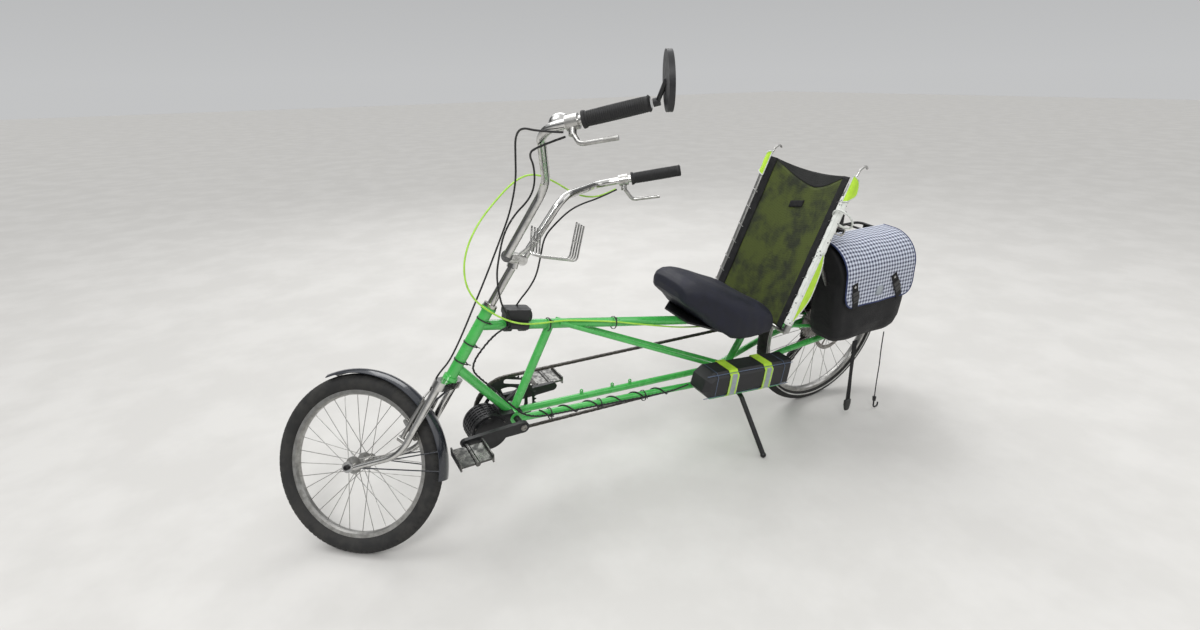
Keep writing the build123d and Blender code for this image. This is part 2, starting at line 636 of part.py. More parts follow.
# Battery on the left of the lower tubes, with the tray that carries it and two straps
BATTERY_LENGTH = 390.0
BATTERY_HEIGHT = 92.0
BATTERY_Y = (70.0, 150.0)
BATTERY_MIDDLE = Vector(485, 0, 281)
BATTERY_SLOPE = 6.2
BATTERY_CHAMFER = 16.0
TRAY_THICK = 4.0
battery_plane = Plane(origin=at_y(BATTERY_MIDDLE, BATTERY_Y[0]),
                      x_dir=(cos(radians(BATTERY_SLOPE)), 0, sin(radians(BATTERY_SLOPE))), z_dir=(0, -1, 0))
half_length, half_height = BATTERY_LENGTH / 2, BATTERY_HEIGHT / 2
battery_width = BATTERY_Y[1] - BATTERY_Y[0]
with BuildPart() as battery:
    with BuildSketch(battery_plane):
        with BuildLine():
            Polyline((-half_length, -half_height), (half_length - 30, -half_height),
                     (half_length, -half_height + 26), (half_length - 6, half_height - 22),
                     (half_length - 34, half_height), (-half_length, half_height), close=True)
        make_face()
    extrude(amount=-battery_width)
    chamfer(battery.edges().filter_by(Axis.Y, reverse=True).group_by(Axis.Y)[-1], BATTERY_CHAMFER)
keep(battery.part, "battery", "frame")

with BuildPart() as battery_tray:
    with BuildSketch(battery_plane):
        with Locations((0, -half_height - TRAY_THICK / 2)):
            Rectangle(BATTERY_LENGTH - 70, TRAY_THICK)
    extrude(amount=-battery_width + 12)
    with BuildSketch(battery_plane):
        with Locations((-10, -TRAY_THICK)):
            Rectangle(BATTERY_LENGTH - 120, BATTERY_HEIGHT - 20)
        with Locations((0, -half_height)):
            Rectangle(BATTERY_LENGTH - 70, 2 * TRAY_THICK)
    extrude(amount=TRAY_THICK)
    for x in (560, 440):
        add(bar((x, 30, 247), (x, BATTERY_Y[0] - TRAY_THICK, 247), 7))
    for met in (lower_tubes, chainstays, battery.part):
        add(met, mode=Mode.SUBTRACT)
battery_tray_part = keep(largest(battery_tray), "battery_tray", "frame")

STRAP_THICK = 1.6
with BuildPart() as battery_straps:
    for along in (-95, 60):
        with BuildSketch(Plane(origin=battery_plane.from_local_coords(Vector(along, 0, 0)),
                               x_dir=(0, 1, 0), z_dir=battery_plane.x_dir)):
            height = half_height + TRAY_THICK
            with BuildLine():
                Polyline((-TRAY_THICK, -height), (battery_width - BATTERY_CHAMFER, -height),
                         (battery_width, -height + BATTERY_CHAMFER + TRAY_THICK),
                         (battery_width, half_height - BATTERY_CHAMFER),
                         (battery_width - BATTERY_CHAMFER, half_height),
                         (-TRAY_THICK, half_height), close=True)
            make_face()
            offset(amount=STRAP_THICK, kind=Kind.INTERSECTION)
        extrude(amount=38)
    for met in (battery.part, battery_tray_part, lower_tubes):
        add(met, mode=Mode.SUBTRACT)
keep(largest(battery_straps, 2), "battery_straps", "frame")

# Seat: base on the top tube, cushion, a back frame of two rails with bowed cross tubes, mesh and cover
RAIL_Y = 187.0
RAIL_RADIUS = 11.0
RAIL_LOW_X = 404.0
RAIL_HIGH = Vector(212, 0, 928)
PAN_THICK = 6.0
PAN_SEAT = 0.2
CROSS_TUBE = 8.0
top_line = (TOP_FRONT - TOP_REAR).normalized()
top_normal = Vector(-top_line.Z, 0, top_line.X)


def on_top(x, rise=0.0, y=0.0):
    """A point above the top tube's centre line at X, along its upward normal."""
    along = (x - TOP_REAR.X) / top_line.X
    return TOP_REAR + top_line * along + top_normal * rise + left * y


RAIL_LOW = on_top(RAIL_LOW_X, TOP_TUBE_RADIUS + PAN_SEAT + PAN_THICK + PAN_SEAT + CROSS_TUBE)
rail_line = (RAIL_HIGH - RAIL_LOW).normalized()
rail_back = Vector(-rail_line.Z, 0, rail_line.X)
PAN_HALF = 150.0
with BuildPart() as seat_pan:
    with BuildSketch(Plane(origin=on_top(585, TOP_TUBE_RADIUS + PAN_SEAT), x_dir=top_line, z_dir=top_normal)):
        with BuildLine():
            Polyline((-150, -PAN_HALF), (40, -PAN_HALF), (130, -62), (130, 62), (40, PAN_HALF),
                     (-150, PAN_HALF), close=True)
        make_face()
        with Locations((-170, 0)):
            Rectangle(60, 90)
    extrude(amount=PAN_THICK)
    with BuildSketch(Plane(origin=on_top(585, TOP_TUBE_RADIUS + PAN_SEAT), x_dir=top_line, z_dir=top_normal)):
        with Locations((-90, 0), (60, 0)):
            Rectangle(34, 44)
    extrude(amount=-TOP_TUBE_RADIUS - 8)
    add(top_tube, mode=Mode.SUBTRACT)
seat_pan_part = keep(largest(seat_pan), "seat_pan", "frame")

with BuildPart() as seat_cushion:
    with BuildSketch(Plane(origin=(0, 172, 0), x_dir=(1, 0, 0), z_dir=(0, -1, 0))):
        with BuildLine():
            Polyline((432, 452), (432, 528), (448, 552), (612, 618), (690, 648), (730, 648), (754, 622),
                     (756, 588), (738, 566), (700, 548), (640, 474), (560, 442), close=True)
        make_face()
    extrude(amount=344)
    with BuildSketch(Plane.XY):
        with BuildLine():
            Polyline((430, -172), (585, -172), (690, -112), (757, -78), (757, 78), (690, 112), (585, 172),
                     (430, 172), close=True)
        make_face()
    extrude(amount=700, mode=Mode.INTERSECT)
    with BuildSketch(Plane(origin=on_top(585, TOP_TUBE_RADIUS + 6.5), x_dir=top_line, z_dir=top_normal)):
        Rectangle(420, 2 * PAN_HALF + 4)
    extrude(amount=-120, mode=Mode.SUBTRACT)
    fillet(seat_cushion.edges().group_by(Axis.Z)[-1], 14)
keep(largest(seat_cushion), "seat_cushion", "frame")

with BuildPart() as seat_frame:
    for side in (1, -1):
        add(bar(at_y(RAIL_LOW, side * RAIL_Y), at_y(RAIL_HIGH, side * RAIL_Y), RAIL_RADIUS))
    add(bar(at_y(RAIL_LOW, -RAIL_Y), at_y(RAIL_LOW, RAIL_Y), CROSS_TUBE))
    for up, bow in ((0.5, 46), (0.94, 40)):
        start = RAIL_LOW + (RAIL_HIGH - RAIL_LOW) * up
        back = start + rail_back * bow
        add(bent_bar((at_y(start, -RAIL_Y), at_y(back, -RAIL_Y + 60), at_y(back, RAIL_Y - 60),
                      at_y(start, RAIL_Y)), CROSS_TUBE, [60, 60]))
seat_frame_part = keep(seat_frame.part, "seat_frame", "frame")

MESH_THICK = 2.4
MESH_GAP = 0.3
with BuildPart() as seat_mesh:
    plane = Plane(origin=RAIL_LOW + rail_line * 6, x_dir=(0, 1, 0), z_dir=rail_line)
    half = RAIL_Y - RAIL_RADIUS * 0.8 - MESH_GAP
    front_sign = 1 if plane.y_dir.dot(rail_back) < 0 else -1
    with BuildSketch(plane):
        with BuildLine():
            edge = front_sign * RAIL_RADIUS * 0.6
            dip = -front_sign * 14
            thick = front_sign * MESH_THICK
            ThreePointArc((-half, edge), (0, dip), (half, edge))
            Line((half, edge), (half, edge + thick))
            ThreePointArc((half, edge + thick), (0, dip + thick), (-half, edge + thick))
            Line((-half, edge + thick), (-half, edge))
        make_face()
    extrude(amount=(RAIL_HIGH - RAIL_LOW).length - 14)
    add(seat_frame_part, mode=Mode.SUBTRACT)
seat_mesh_part = keep(largest(seat_mesh), "seat_mesh", "frame")

# Struts that carry the back frame and the rack, from the dropouts up
RACK_RISE = 56.0
RACK_Z = 2 * REAR_RADIUS + RACK_RISE
RACK_X = (-178.0, 168.0)
RACK_HALF = 58.0
ROD = 5.0
DROPOUT_OUT = DROPOUT_Y + DROPOUT_THICK / 2
STRUT_RADIUS = 6.0
STRUT_FOOT = Vector(14, DROPOUT_OUT + STRUT_RADIUS + 1, REAR_RADIUS + 20)
with BuildPart() as seat_struts:
    for side in (1, -1):
        foot = at_y(STRUT_FOOT, side * STRUT_FOOT.Y)
        top = RAIL_LOW + (RAIL_HIGH - RAIL_LOW) * 0.5 + rail_back * (RAIL_RADIUS + ROD)
        add(bent_bar((foot, foot + Vector(14, 0, 60), at_y(top, side * (RAIL_Y - 4))), STRUT_RADIUS, [60]))
        add(side_disc(STRUT_FOOT, 9, side * DROPOUT_OUT, side * (STRUT_FOOT.Y + 0.5 * STRUT_RADIUS)))
    add(seat_frame_part, mode=Mode.SUBTRACT)
seat_struts_part = keep(largest(seat_struts, 2), "seat_struts", "frame")

RACK_CORNER = 24.0
RACK_FOOT_Y = 66.0
CROSS_ROD = 4.0
LAMP_PLATE_HOLE = 2.75
LAMP_PLATE_SPACING = 50.0
with BuildPart() as rack:
    with BuildLine() as rail:
        FilletPolyline((RACK_X[0], -RACK_HALF, RACK_Z), (RACK_X[1], -RACK_HALF, RACK_Z),
                       (RACK_X[1], RACK_HALF, RACK_Z), (RACK_X[0], RACK_HALF, RACK_Z),
                       radius=RACK_CORNER, close=True)
    with BuildSketch(Plane(origin=rail.line @ 0, z_dir=rail.line % 0)):
        Circle(ROD)
    sweep(path=rail.line)
    for x in (-110, -30, 50, 120):
        add(bar((x, -RACK_HALF, RACK_Z), (x, RACK_HALF, RACK_Z), CROSS_ROD))
    for side in (1, -1):
        for x in (-70, 70):
            add(bent_bar(((x, side * RACK_HALF, RACK_Z), (x * 0.8, side * (RACK_HALF + 6), RACK_Z - 70),
                          (-8 + x * 0.06, side * RACK_FOOT_Y, REAR_RADIUS + 26)), ROD, [40]))
    with BuildSketch(Plane(origin=(RACK_X[0] - 1.5, 0, RACK_Z - 14), x_dir=(0, 1, 0), z_dir=(1, 0, 0))):
        RectangleRounded(LAMP_PLATE_SPACING + 20, 34, 5)
        with Locations((-LAMP_PLATE_SPACING / 2, -6), (LAMP_PLATE_SPACING / 2, -6)):
            Circle(LAMP_PLATE_HOLE, mode=Mode.SUBTRACT)
    extrude(amount=3)
    for met in (seat_stays, chainstays, seat_struts_part):
        add(met, mode=Mode.SUBTRACT)
rack_part = keep(largest(rack), "rack", "frame")

# Panniers: a tapered bag each side of the rack
PANNIER_IN = RACK_FOOT_Y + ROD + 0.3
PANNIER_OUT = 228.0
BAG_TOP = RACK_Z + 34
BAG_LOW = BAG_TOP - 374
for side, name in ((1, "left"), (-1, "right")):
    with BuildPart() as pannier:
        with BuildSketch(Plane(origin=(0, side * PANNIER_IN, 0), x_dir=(1, 0, 0), z_dir=(0, -1, 0))):
            with BuildLine():
                Polyline((-158, BAG_TOP), (182, BAG_TOP), (190, BAG_LOW + 208), (150, BAG_LOW), (-132, BAG_LOW),
                         (-166, BAG_LOW + 208), close=True)
            make_face()
        extrude(amount=-side * (PANNIER_OUT - PANNIER_IN))
        with BuildSketch(Plane(origin=(-400, 0, 0), x_dir=(0, 1, 0), z_dir=(1, 0, 0))):
            with BuildLine():
                Polyline((side * PANNIER_IN, BAG_LOW - 12), (side * PANNIER_IN, BAG_TOP + 9),
                         (side * (PANNIER_OUT - 28), BAG_TOP + 9), (side * PANNIER_OUT, BAG_TOP - 26),
                         (side * PANNIER_OUT, BAG_LOW + 68), (side * (PANNIER_OUT - 24), BAG_LOW - 12), close=True)
            make_face()
        extrude(amount=800, mode=Mode.INTERSECT)
        for piece in (seat_struts_part, seat_frame_part):
            add(piece, mode=Mode.SUBTRACT)
    keep(largest(pannier), "pannier_" + name, "frame")

# Straps from the left bag: a webbing with its buckle, and the hook of the elastic cord
with BuildPart() as hanging_strap:
    lean_down = Vector(0, sin(radians(LEAN_ANGLE)), -cos(radians(LEAN_ANGLE)))
    strap_top = Vector(50, 200, BAG_LOW - 0.1)
    strap_plane = Plane(origin=strap_top, x_dir=(1, 0, 0), z_dir=lean_down)
    with BuildSketch(strap_plane):
        Rectangle(26, 2)
    extrude(amount=236)
    with BuildSketch(Plane(origin=strap_top + lean_down * 236, x_dir=(1, 0, 0), z_dir=lean_down)):
        RectangleRounded(34, 12, 4)
    extrude(amount=44)
keep(hanging_strap.part, "hanging_strap", "frame")

CORD_TOP = Vector(-112, 196, BAG_LOW - 1)
CORD_RADIUS = 2.0
CORD_LENGTH = 270.0
CORD_SWAY = (0.0, 2.5, -2.0, 1.5, 0.0)
cord_points = [CORD_TOP + lean_down * CORD_LENGTH * step / 4 + Vector(sway, 0, 0)
               for step, sway in enumerate(CORD_SWAY)]
hanging_cord = keep(cable(cord_points, CORD_RADIUS), "hanging_cord", "frame")
with BuildPart() as cord_hook:
    hook_top = CORD_TOP + lean_down * CORD_LENGTH
    add(bar(hook_top, hook_top + lean_down * 16, 7, 6))
    add(bent_bar((hook_top + lean_down * 14, hook_top + lean_down * 46, hook_top + lean_down * 46 + Vector(-24, 0, 0),
                  hook_top + lean_down * 30 + Vector(-24, 0, 0)), 3, [11, 9]))
    add(hanging_cord, mode=Mode.SUBTRACT)
keep(largest(cord_hook), "cord_hook", "frame")

# Seat cover: bright sleeves on the rails' top ends and along the lower part of the left rail
SLEEVE = 3.0
with BuildPart() as seat_cover:
    for side in (1, -1):
        for low, high in ((0.84, 1.0), (0.12, 0.42)):
            start = at_y(RAIL_LOW + (RAIL_HIGH - RAIL_LOW) * low, side * RAIL_Y)
            end = at_y(RAIL_LOW + (RAIL_HIGH - RAIL_LOW) * high, side * RAIL_Y)
            add(bar(start, end + rail_line * (SLEEVE if high == 1.0 else 0), RAIL_RADIUS + SLEEVE))
    for met in (seat_frame_part, seat_mesh_part, seat_struts_part):
        add(met, mode=Mode.SUBTRACT)
keep(largest(seat_cover, 4), "seat_cover", "frame")

# Snap hooks on the rails: one clip at each top end and an oval link on the left rail
with BuildPart() as seat_clips:
    for side in (1, -1):
        top = at_y(RAIL_HIGH, side * RAIL_Y) + rail_line * (SLEEVE + 0.2)
        add(bar(top, top + rail_line * 10, 6))
        add(bent_bar((top + rail_line * 8, top + rail_line * 44 + Vector(-8, 0, 0),
                      top + rail_line * 58 + Vector(-26, 0, 0), top + rail_line * 46 + Vector(-40, 0, 0)), 3.5,
                     [12, 12]))
    ring_centre = at_y(RAIL_LOW + (RAIL_HIGH - RAIL_LOW) * 0.72, RAIL_Y + 1) + rail_back * (RAIL_RADIUS + 25)
    with BuildSketch(Plane(origin=ring_centre - left * 3, x_dir=rail_back, z_dir=(0, 1, 0))):
        SlotOverall(52, 30)
        SlotOverall(42, 20, mode=Mode.SUBTRACT)
    extrude(amount=6)
    add(seat_frame_part, mode=Mode.SUBTRACT)
keep(seat_clips.part, "seat_clips", "frame")

# Disc caliper at the left dropout: body over the rotor with its pads clear of it
CALIPER_WAY = Vector(cos(radians(128)), 0, sin(radians(128)))
CALIPER_GAP = 0.8
with BuildPart() as rear_brake:
    caliper_place = rear_axle + CALIPER_WAY * (ROTOR_RADIUS - 6)
    with BuildSketch(Plane(origin=at_y(caliper_place, 36), x_dir=CALIPER_WAY, z_dir=(0, 1, 0))):
        RectangleRounded(34, 50, 8)
    extrude(amount=24)
    add(side_disc(rear_axle, ROTOR_RADIUS + CALIPER_GAP, ROTOR_Y - CALIPER_GAP, ROTOR_Y + ROTOR_THICK + CALIPER_GAP),
        mode=Mode.SUBTRACT)
    add(bar(at_y(caliper_place, 58), Vector(-4, DROPOUT_Y, REAR_RADIUS + 24), 6))
    for met in (seat_stays, chainstays, rack_part):
        add(met, mode=Mode.SUBTRACT)
keep(largest(rear_brake), "rear_brake", "frame")

# Folded lock on the top tube behind the head tube: a clamp, a box and two links
LOCK_BACK = 79.0
LOCK_X = TOP_FRONT.X - LOCK_BACK
with BuildPart() as cable_lock:
    for x in (LOCK_X, LOCK_X - 44):
        add(bar(on_top(x + 9), on_top(x - 9), TOP_TUBE_RADIUS + 5))
    with BuildSketch(Plane(origin=on_top(LOCK_X - 22, TOP_TUBE_RADIUS + 2), x_dir=top_line, z_dir=top_normal)):
        RectangleRounded(72, 42, 8)
    extrude(amount=34)
    add(bar(on_top(LOCK_X - 50, 4, 22), on_top(LOCK_X + 6, 10, 24), 12))
    add(bar(on_top(LOCK_X - 50, 32, -20), on_top(LOCK_X + 10, 38, -20), 12))
    add(bar(on_top(LOCK_X - 64, 26), on_top(LOCK_X - 40, 26), 15))
    for met in (top_tube, head_tube.part):
        add(met, mode=Mode.SUBTRACT)
    add(bar(on_steer(HEAD_HIGH), on_steer(HEAD_HIGH + 60), 26), mode=Mode.SUBTRACT)
cable_lock_part = keep(largest(cable_lock), "cable_lock", "frame")

# Steering accessories
BELL_PLACE = Vector(1046, 262, 1048)
with BuildPart() as bell:
    with BuildSketch(Plane(origin=BELL_PLACE, x_dir=(1, 0, 0), z_dir=(0, -1, 0))):
        with BuildLine():
            Line((0, 0), (0, 24))
            ThreePointArc((0, 24), (18, 17), (27, 0))
            Line((27, 0), (0, 0))
        make_face()
    revolve(axis=Axis(BELL_PLACE, (0, 0, 1)))
    add(bar(BELL_PLACE - Vector(0, 0, 16), BELL_PLACE, 7))
    add(handlebar_pair, mode=Mode.SUBTRACT)
keep(largest(bell), "bell", "steering")

MIRROR_CENTRE = Vector(800, 360, 1078)
with BuildPart() as mirror:
    stem_foot = at_y(GRIP_END + grip_line * 4.5, GRIP_END.Y)
    add(bar(stem_foot, stem_foot + grip_line * 14, 9))
    add(bar(stem_foot + grip_line * 9, MIRROR_CENTRE, 5))
    with BuildSketch(Plane(origin=MIRROR_CENTRE, z_dir=(-1, -0.25, 0))):
        Ellipse(52, 60)
    extrude(amount=12, both=False)
keep(mirror.part, "mirror", "steering")

# Front mudguard over the tyre with its wire stays
GUARD_RADIUS = FRONT_RADIUS + 12
GUARD_HALF = 27.0
GUARD_FROM = 72.0
GUARD_ARC = 118.0
STRAP_FORE = -14.0
with BuildPart() as front_mudguard:
    guard_way = Vector(cos(radians(GUARD_FROM)), 0, sin(radians(GUARD_FROM)))
    with BuildSketch(Plane(origin=front_axle, x_dir=guard_way, z_dir=guard_way.cross(left))):
        with BuildLine():
            ThreePointArc((GUARD_RADIUS - 9, GUARD_HALF), (GUARD_RADIUS, 0), (GUARD_RADIUS - 9, -GUARD_HALF))
            Line((GUARD_RADIUS - 9, -GUARD_HALF), (GUARD_RADIUS - 7, -GUARD_HALF))
            ThreePointArc((GUARD_RADIUS - 7, -GUARD_HALF), (GUARD_RADIUS + 2, 0), (GUARD_RADIUS - 7, GUARD_HALF))
            Line((GUARD_RADIUS - 7, GUARD_HALF), (GUARD_RADIUS - 9, GUARD_HALF))
        make_face()
    revolve(axis=Axis(front_axle, (0, -1, 0)), revolution_arc=GUARD_ARC)
    strap_way = (on_steer(CROWN_LOW, STRAP_FORE) - front_axle).normalized()
    add(bar(front_axle + strap_way * GUARD_RADIUS, on_steer(CROWN_LOW + 6, STRAP_FORE), 3))
    for side in (1, -1):
        for stay_angle in (172, 184):
            way = Vector(cos(radians(stay_angle)), 0, sin(radians(stay_angle)))
            eye = front_axle + way * 8 + left * side * (EYE_OUT - 2)
            add(bar(eye, front_axle + way * (GUARD_RADIUS - 8) + left * side * (GUARD_HALF - 1), 1.8))
    add(fork.part, mode=Mode.SUBTRACT)
    add(side_disc(front_axle, 12, -EYE_OUT, EYE_OUT), mode=Mode.SUBTRACT)
keep(largest(front_mudguard), "front_mudguard", "steering")

# Rim brake at the fork: two arms on bosses, shoes by the rim and the link over the mudguard
BRAKE_FORE = 20.0
BOSS_UP = 146.0
ARM_TOP_UP = 264.0
SHOE_UP = 171.0
SHOE_Y = RIM_WIDTH / 2 + 7
with BuildPart() as front_brake:
    for side in (1, -1):
        boss = on_steer(BOSS_UP, BRAKE_FORE, side * (BLADE_Y - 4))
        add(bar(on_steer(BOSS_UP, 4, side * (BLADE_Y - 4)), on_steer(BOSS_UP, BRAKE_FORE + 9, side * (BLADE_Y - 4)), 8))
        add(bent_bar((boss, on_steer(SHOE_UP + 20, BRAKE_FORE, side * (BLADE_Y - 4)),
                      on_steer(ARM_TOP_UP, BRAKE_FORE, side * (BLADE_Y - 12))), 6, [60]))
        shoe = on_steer(SHOE_UP, BRAKE_FORE, side * SHOE_Y)
        out = (shoe - at_y(front_axle, shoe.Y)).normalized()
        with BuildSketch(Plane(origin=shoe - left * side * 4, x_dir=out.cross(left), z_dir=left * side)):
            SlotOverall(66, 10)
        extrude(amount=9)
        add(bar(shoe, on_steer(SHOE_UP + 6, BRAKE_FORE, side * (BLADE_Y - 4)), 3))
    top = on_steer(ARM_TOP_UP, BRAKE_FORE, 0)
    link = BLADE_Y - 12
    add(bar(at_y(top, -link), at_y(top, link), 1.5))
    noodle_end = on_steer(ARM_TOP_UP + 34, BRAKE_FORE, link - 4)
    add(bent_bar((at_y(top, link) - steer_up * 4, at_y(top, link + 14) + steer_up * 14, noodle_end), 2.6, [12]))
    add(fork.part, mode=Mode.SUBTRACT)
front_brake_part = keep(largest(front_brake), "front_brake", "steering")

# Front brake cable from the left lever, round the front of the bars and down ahead of the head tube
CABLE_RADIUS = 2.5
FRONT_CABLE = (
    (1030, 298, 1018), (1086, 306, 1024), (1130, 276, 1046), (1166, 220, 1046), (1192, 150, 1020),
    (1218, 82, 972), (1252, 44, 902), (1290, 32, 830), (1330, 31, 744), (1370, 30, 664), (1407, 31, 588),
    (1441, 33, 527), (1468, 34, 500), (1487, 34, 475), noodle_end,
)
with BuildPart() as front_brake_cable:
    add(cable(FRONT_CABLE, CABLE_RADIUS))
    add(front_brake_part, mode=Mode.SUBTRACT)
keep(largest(front_brake_cable), "front_brake_cable", "steering")

# Wire holder for a bottle behind the bar legs: two loops of chromed rod with a cross wire
WIRE = 2.5
CROSS_WIRE = 2.0
with BuildPart() as bottle_cage:
    for y in (-36, -12, 12, 36):
        add(bent_bar(((1196, y, 868), (1204, y, 794), (1100, y, 776), (1076, y, 868)), WIRE, [12, 12]))
    for x, z in ((1200, 830), (1150, 784.7), (1088, 822)):
        add(bar((x, -38, z), (x, 38, z), CROSS_WIRE))
    add(bar((1200, 0, 830), CLAMP_CENTRE, WIRE + 1.5))
    add(stem.part, mode=Mode.SUBTRACT)
keep(largest(bottle_cage), "bottle_cage", "steering")

# Placement: the stand pose follows from the lean, the steering and both tyre contacts

def turn_about(point, direction, angle):
    """A rotation by an angle about a line, as a location."""
    home = Plane(origin=point, z_dir=direction).location
    return home * Location((0, 0, 0), (0, 0, angle)) * home.inverse()


def moved(location, point):
    return Vector(*(location * Pos(*point)).position)


def turned(location, direction):
    return moved(location, direction) - moved(location, Vector(0, 0, 0))


steer_location = turn_about(steer_foot, steer_up, STEER_ANGLE)


# Cables between the turned bars and the frame, in the frame's place with the bars at rest
def steered(x, y, z):
    return moved(steer_location, Vector(x, y, z))


SHIFT_CABLE = (
    (868, -140, 906), (904, -154, 886), (962, -146, 888), (1024, -124, 914), (1092, -102, 958), (1166, -72, 994),
    (1228, -48, 990), (1296, -26, 946), (1356, -12, 890), (1394, -4, 822), (1404, 10, 758), (1388, 24, 708),
    (1352, 36, 671), (1307, 40, 637), (1258, 40, 614), (1200, 30, 600), (1124, 17, 588), (1040, 17, 568),
    (960, 18, 549), (880, 19, 524), (800, 19, 500), (720, 20, 477), (650, 19, 462), (590, 8, 446), (528, -12, 430),
    (462, -30, 414), (396, -42, 403), (330, -58, 386), (264, -68, 366), (200, -72, 342), (140, -76, 331),
    (96, -82, 321), (56, -84, 302), (30, -83, 282), (12, -74, 264),
)
with BuildPart() as shift_cable:
    add(cable(SHIFT_CABLE, CABLE_RADIUS))
    add(derailleur_part, mode=Mode.SUBTRACT)
keep(largest(shift_cable), "shift_cable", "frame")

CONTROL_CABLES = (
    (steered(1030, 284, 1012), steered(1108, 262, 1002), steered(1138, 210, 1002), steered(1150, 140, 996),
     steered(1172, 70, 966), steered(1200, 36, 936), steered(1246, 30, 900), steered(1276, 32, 852),
     steered(1290, 34, 796), steered(1300, 34, 742), (1318, 34, 694), (1306, 32, 660), (1288, 28, 626)),
    (steered(1030, -282, 1010), steered(1084, -262, 984), steered(1120, -200, 960), steered(1140, -130, 930),
     steered(1162, -74, 890), steered(1190, -46, 850), steered(1206, -58, 800), steered(1222, -62, 746),
     (1222, -6, 690), (1244, -14, 662), (1260, -19, 634)),
)
with BuildPart() as control_cables:
    for route in CONTROL_CABLES:
        add(cable(route, CABLE_RADIUS))
    add(cable_lock_part, mode=Mode.SUBTRACT)
keep(largest(control_cables, 2), "control_cables", "frame")

# Motor lead: past the head tube, along the down tube and the motor and along the left lower tube
FRAME_CABLE = (
    (1284, 25, 612), (1318, 29, 606), (1346, 27, 586), (1372, 24, 558), (1394, 21, 528), (1402, 21, 498),
    (1380, 21, 466), (1348, 21, 428), (1318, 24, 388), (1292, 33, 354), (1264, 40, 324), (1220, 41, 303),
    (1160, 42, 296), (1080, 44, 289), (1000, 47, 282), (920, 49, 275), (840, 52, 268), (760, 56, 264),
    (716, 62, 270), (690, 74, 284),
)
with BuildPart() as frame_cable:
    add(cable(FRAME_CABLE, CABLE_RADIUS))
    add(cable_lock_part, mode=Mode.SUBTRACT)
    add(battery.part, mode=Mode.SUBTRACT)
keep(largest(frame_cable), "frame_cable", "frame")


def lowest(centre, axle, radius, bead, width):
    """The height of a leaned tyre's lowest point."""
    half = section_half(radius, bead)
    upright = sqrt(1 - axle.Z ** 2)
    return centre.Z - (radius - half) * upright - sqrt((half * upright) ** 2 + (width / 2 * axle.Z) ** 2)


pitch, rise = 0.0, 0.0
for _ in range(8):
    stand = Location((0, 0, rise)) * Location((0, 0, 0), (-LEAN_ANGLE, 0, 0)) * Location((0, 0, 0), (0, pitch, 0))
    front_place = stand * steer_location
    front_low = lowest(moved(front_place, front_axle), turned(front_place, left), FRONT_RADIUS, FRONT_BEAD_RADIUS,
                       FRONT_TYRE_WIDTH)
    rear_low = lowest(moved(stand, rear_axle), turned(stand, left), REAR_RADIUS, REAR_BEAD_RADIUS, REAR_TYRE_WIDTH)
    pitch += degrees((front_low - rear_low) / WHEELBASE)
    rise -= rear_low

# Side stand: a bent leg whose rounded foot meets the floor in the leaned pose
STAND_PIVOT = Vector(470, 50, 206)
STAND_KNEE = Vector(478, 108, 194)
FOOT_PLACE = Vector(472, 245, 0)
LEG = 8.5
FOOT_RADIUS = 10.0
BOLT_GAP = 0.3
BRACKET_GAP = 0.5
foot = moved(stand.inverse(), FOOT_PLACE + Vector(0, 0, FOOT_RADIUS))
stow_way = Vector(-0.96, 0.17, -0.2).normalized()
stand_way = (foot - STAND_PIVOT).normalized()
stand_axis = stand_way.cross(stow_way).normalized()
stow_angle = degrees(acos(stand_way.dot(stow_way)))
STAND_BOLT = 5.0
BARREL_RADIUS = 14.0
BARREL_HALF = 9.0
BRACKET_THICK = 6.0
with BuildPart() as kickstand:
    add(bent_bar((STAND_PIVOT, STAND_KNEE, foot), LEG, [30]))
    with Locations(foot):
        Sphere(FOOT_RADIUS)
    with BuildSketch(Plane(origin=STAND_PIVOT - stand_axis * BARREL_HALF, z_dir=stand_axis)):
        Circle(BARREL_RADIUS)
    extrude(amount=2 * BARREL_HALF)
    with BuildSketch(Plane(origin=STAND_PIVOT - stand_axis * BARREL_HALF, z_dir=stand_axis)):
        Circle(STAND_BOLT + BOLT_GAP)
    extrude(amount=1.5 * BARREL_HALF, mode=Mode.SUBTRACT)
keep(kickstand.part, "kickstand", "kickstand")

# Bracket under the bridge that carries the stand on its bolt
bracket_face = STAND_PIVOT - stand_axis * (BARREL_HALF + BRACKET_GAP + BRACKET_THICK)
bracket_way = Vector(1, 0, 0) - stand_axis * stand_axis.X
BRACKET_REACH = 36.0
with BuildPart() as stand_bracket:
    with BuildSketch(Plane(origin=bracket_face, x_dir=bracket_way, z_dir=stand_axis)):
        with Locations((BRACKET_REACH / 2, 0)):
            SlotOverall(BRACKET_REACH + 2 * BARREL_RADIUS, 2 * BARREL_RADIUS)
    extrude(amount=BRACKET_THICK)
    add(bar(bracket_face, bracket_face + stand_axis * (BRACKET_THICK + 1.5 * BARREL_HALF), STAND_BOLT))
    post_foot = bracket_face + bracket_way * BRACKET_REACH + stand_axis * BRACKET_THICK / 2
    add(bar(post_foot, at_y(LOWER_REAR, LOWER_REAR.Y) + Vector(8, 0, 0), 9))
    for met in (lower_tubes, chainstays):
        add(met, mode=Mode.SUBTRACT)
keep(largest(stand_bracket), "stand_bracket", "frame")

placement = {body: stand for body in bodies}
placement["steering"] = front_place
placement["front_wheel"] = front_place
boxes = [(placement[body] * piece).bounding_box() for body in bodies for piece in groups[body]]
middle_x = (min(b.min.X for b in boxes) + max(b.max.X for b in boxes)) / 2
middle_y = (min(b.min.Y for b in boxes) + max(b.max.Y for b in boxes)) / 2
centre_shift = Location((-middle_x, -middle_y, -min(b.min.Z for b in boxes)))
for body in bodies:
    for piece in groups[body]:
        placed = centre_shift * placement[body] * piece
        placed.label = piece.label
        export_step(placed, "parts/" + piece.label + ".step")
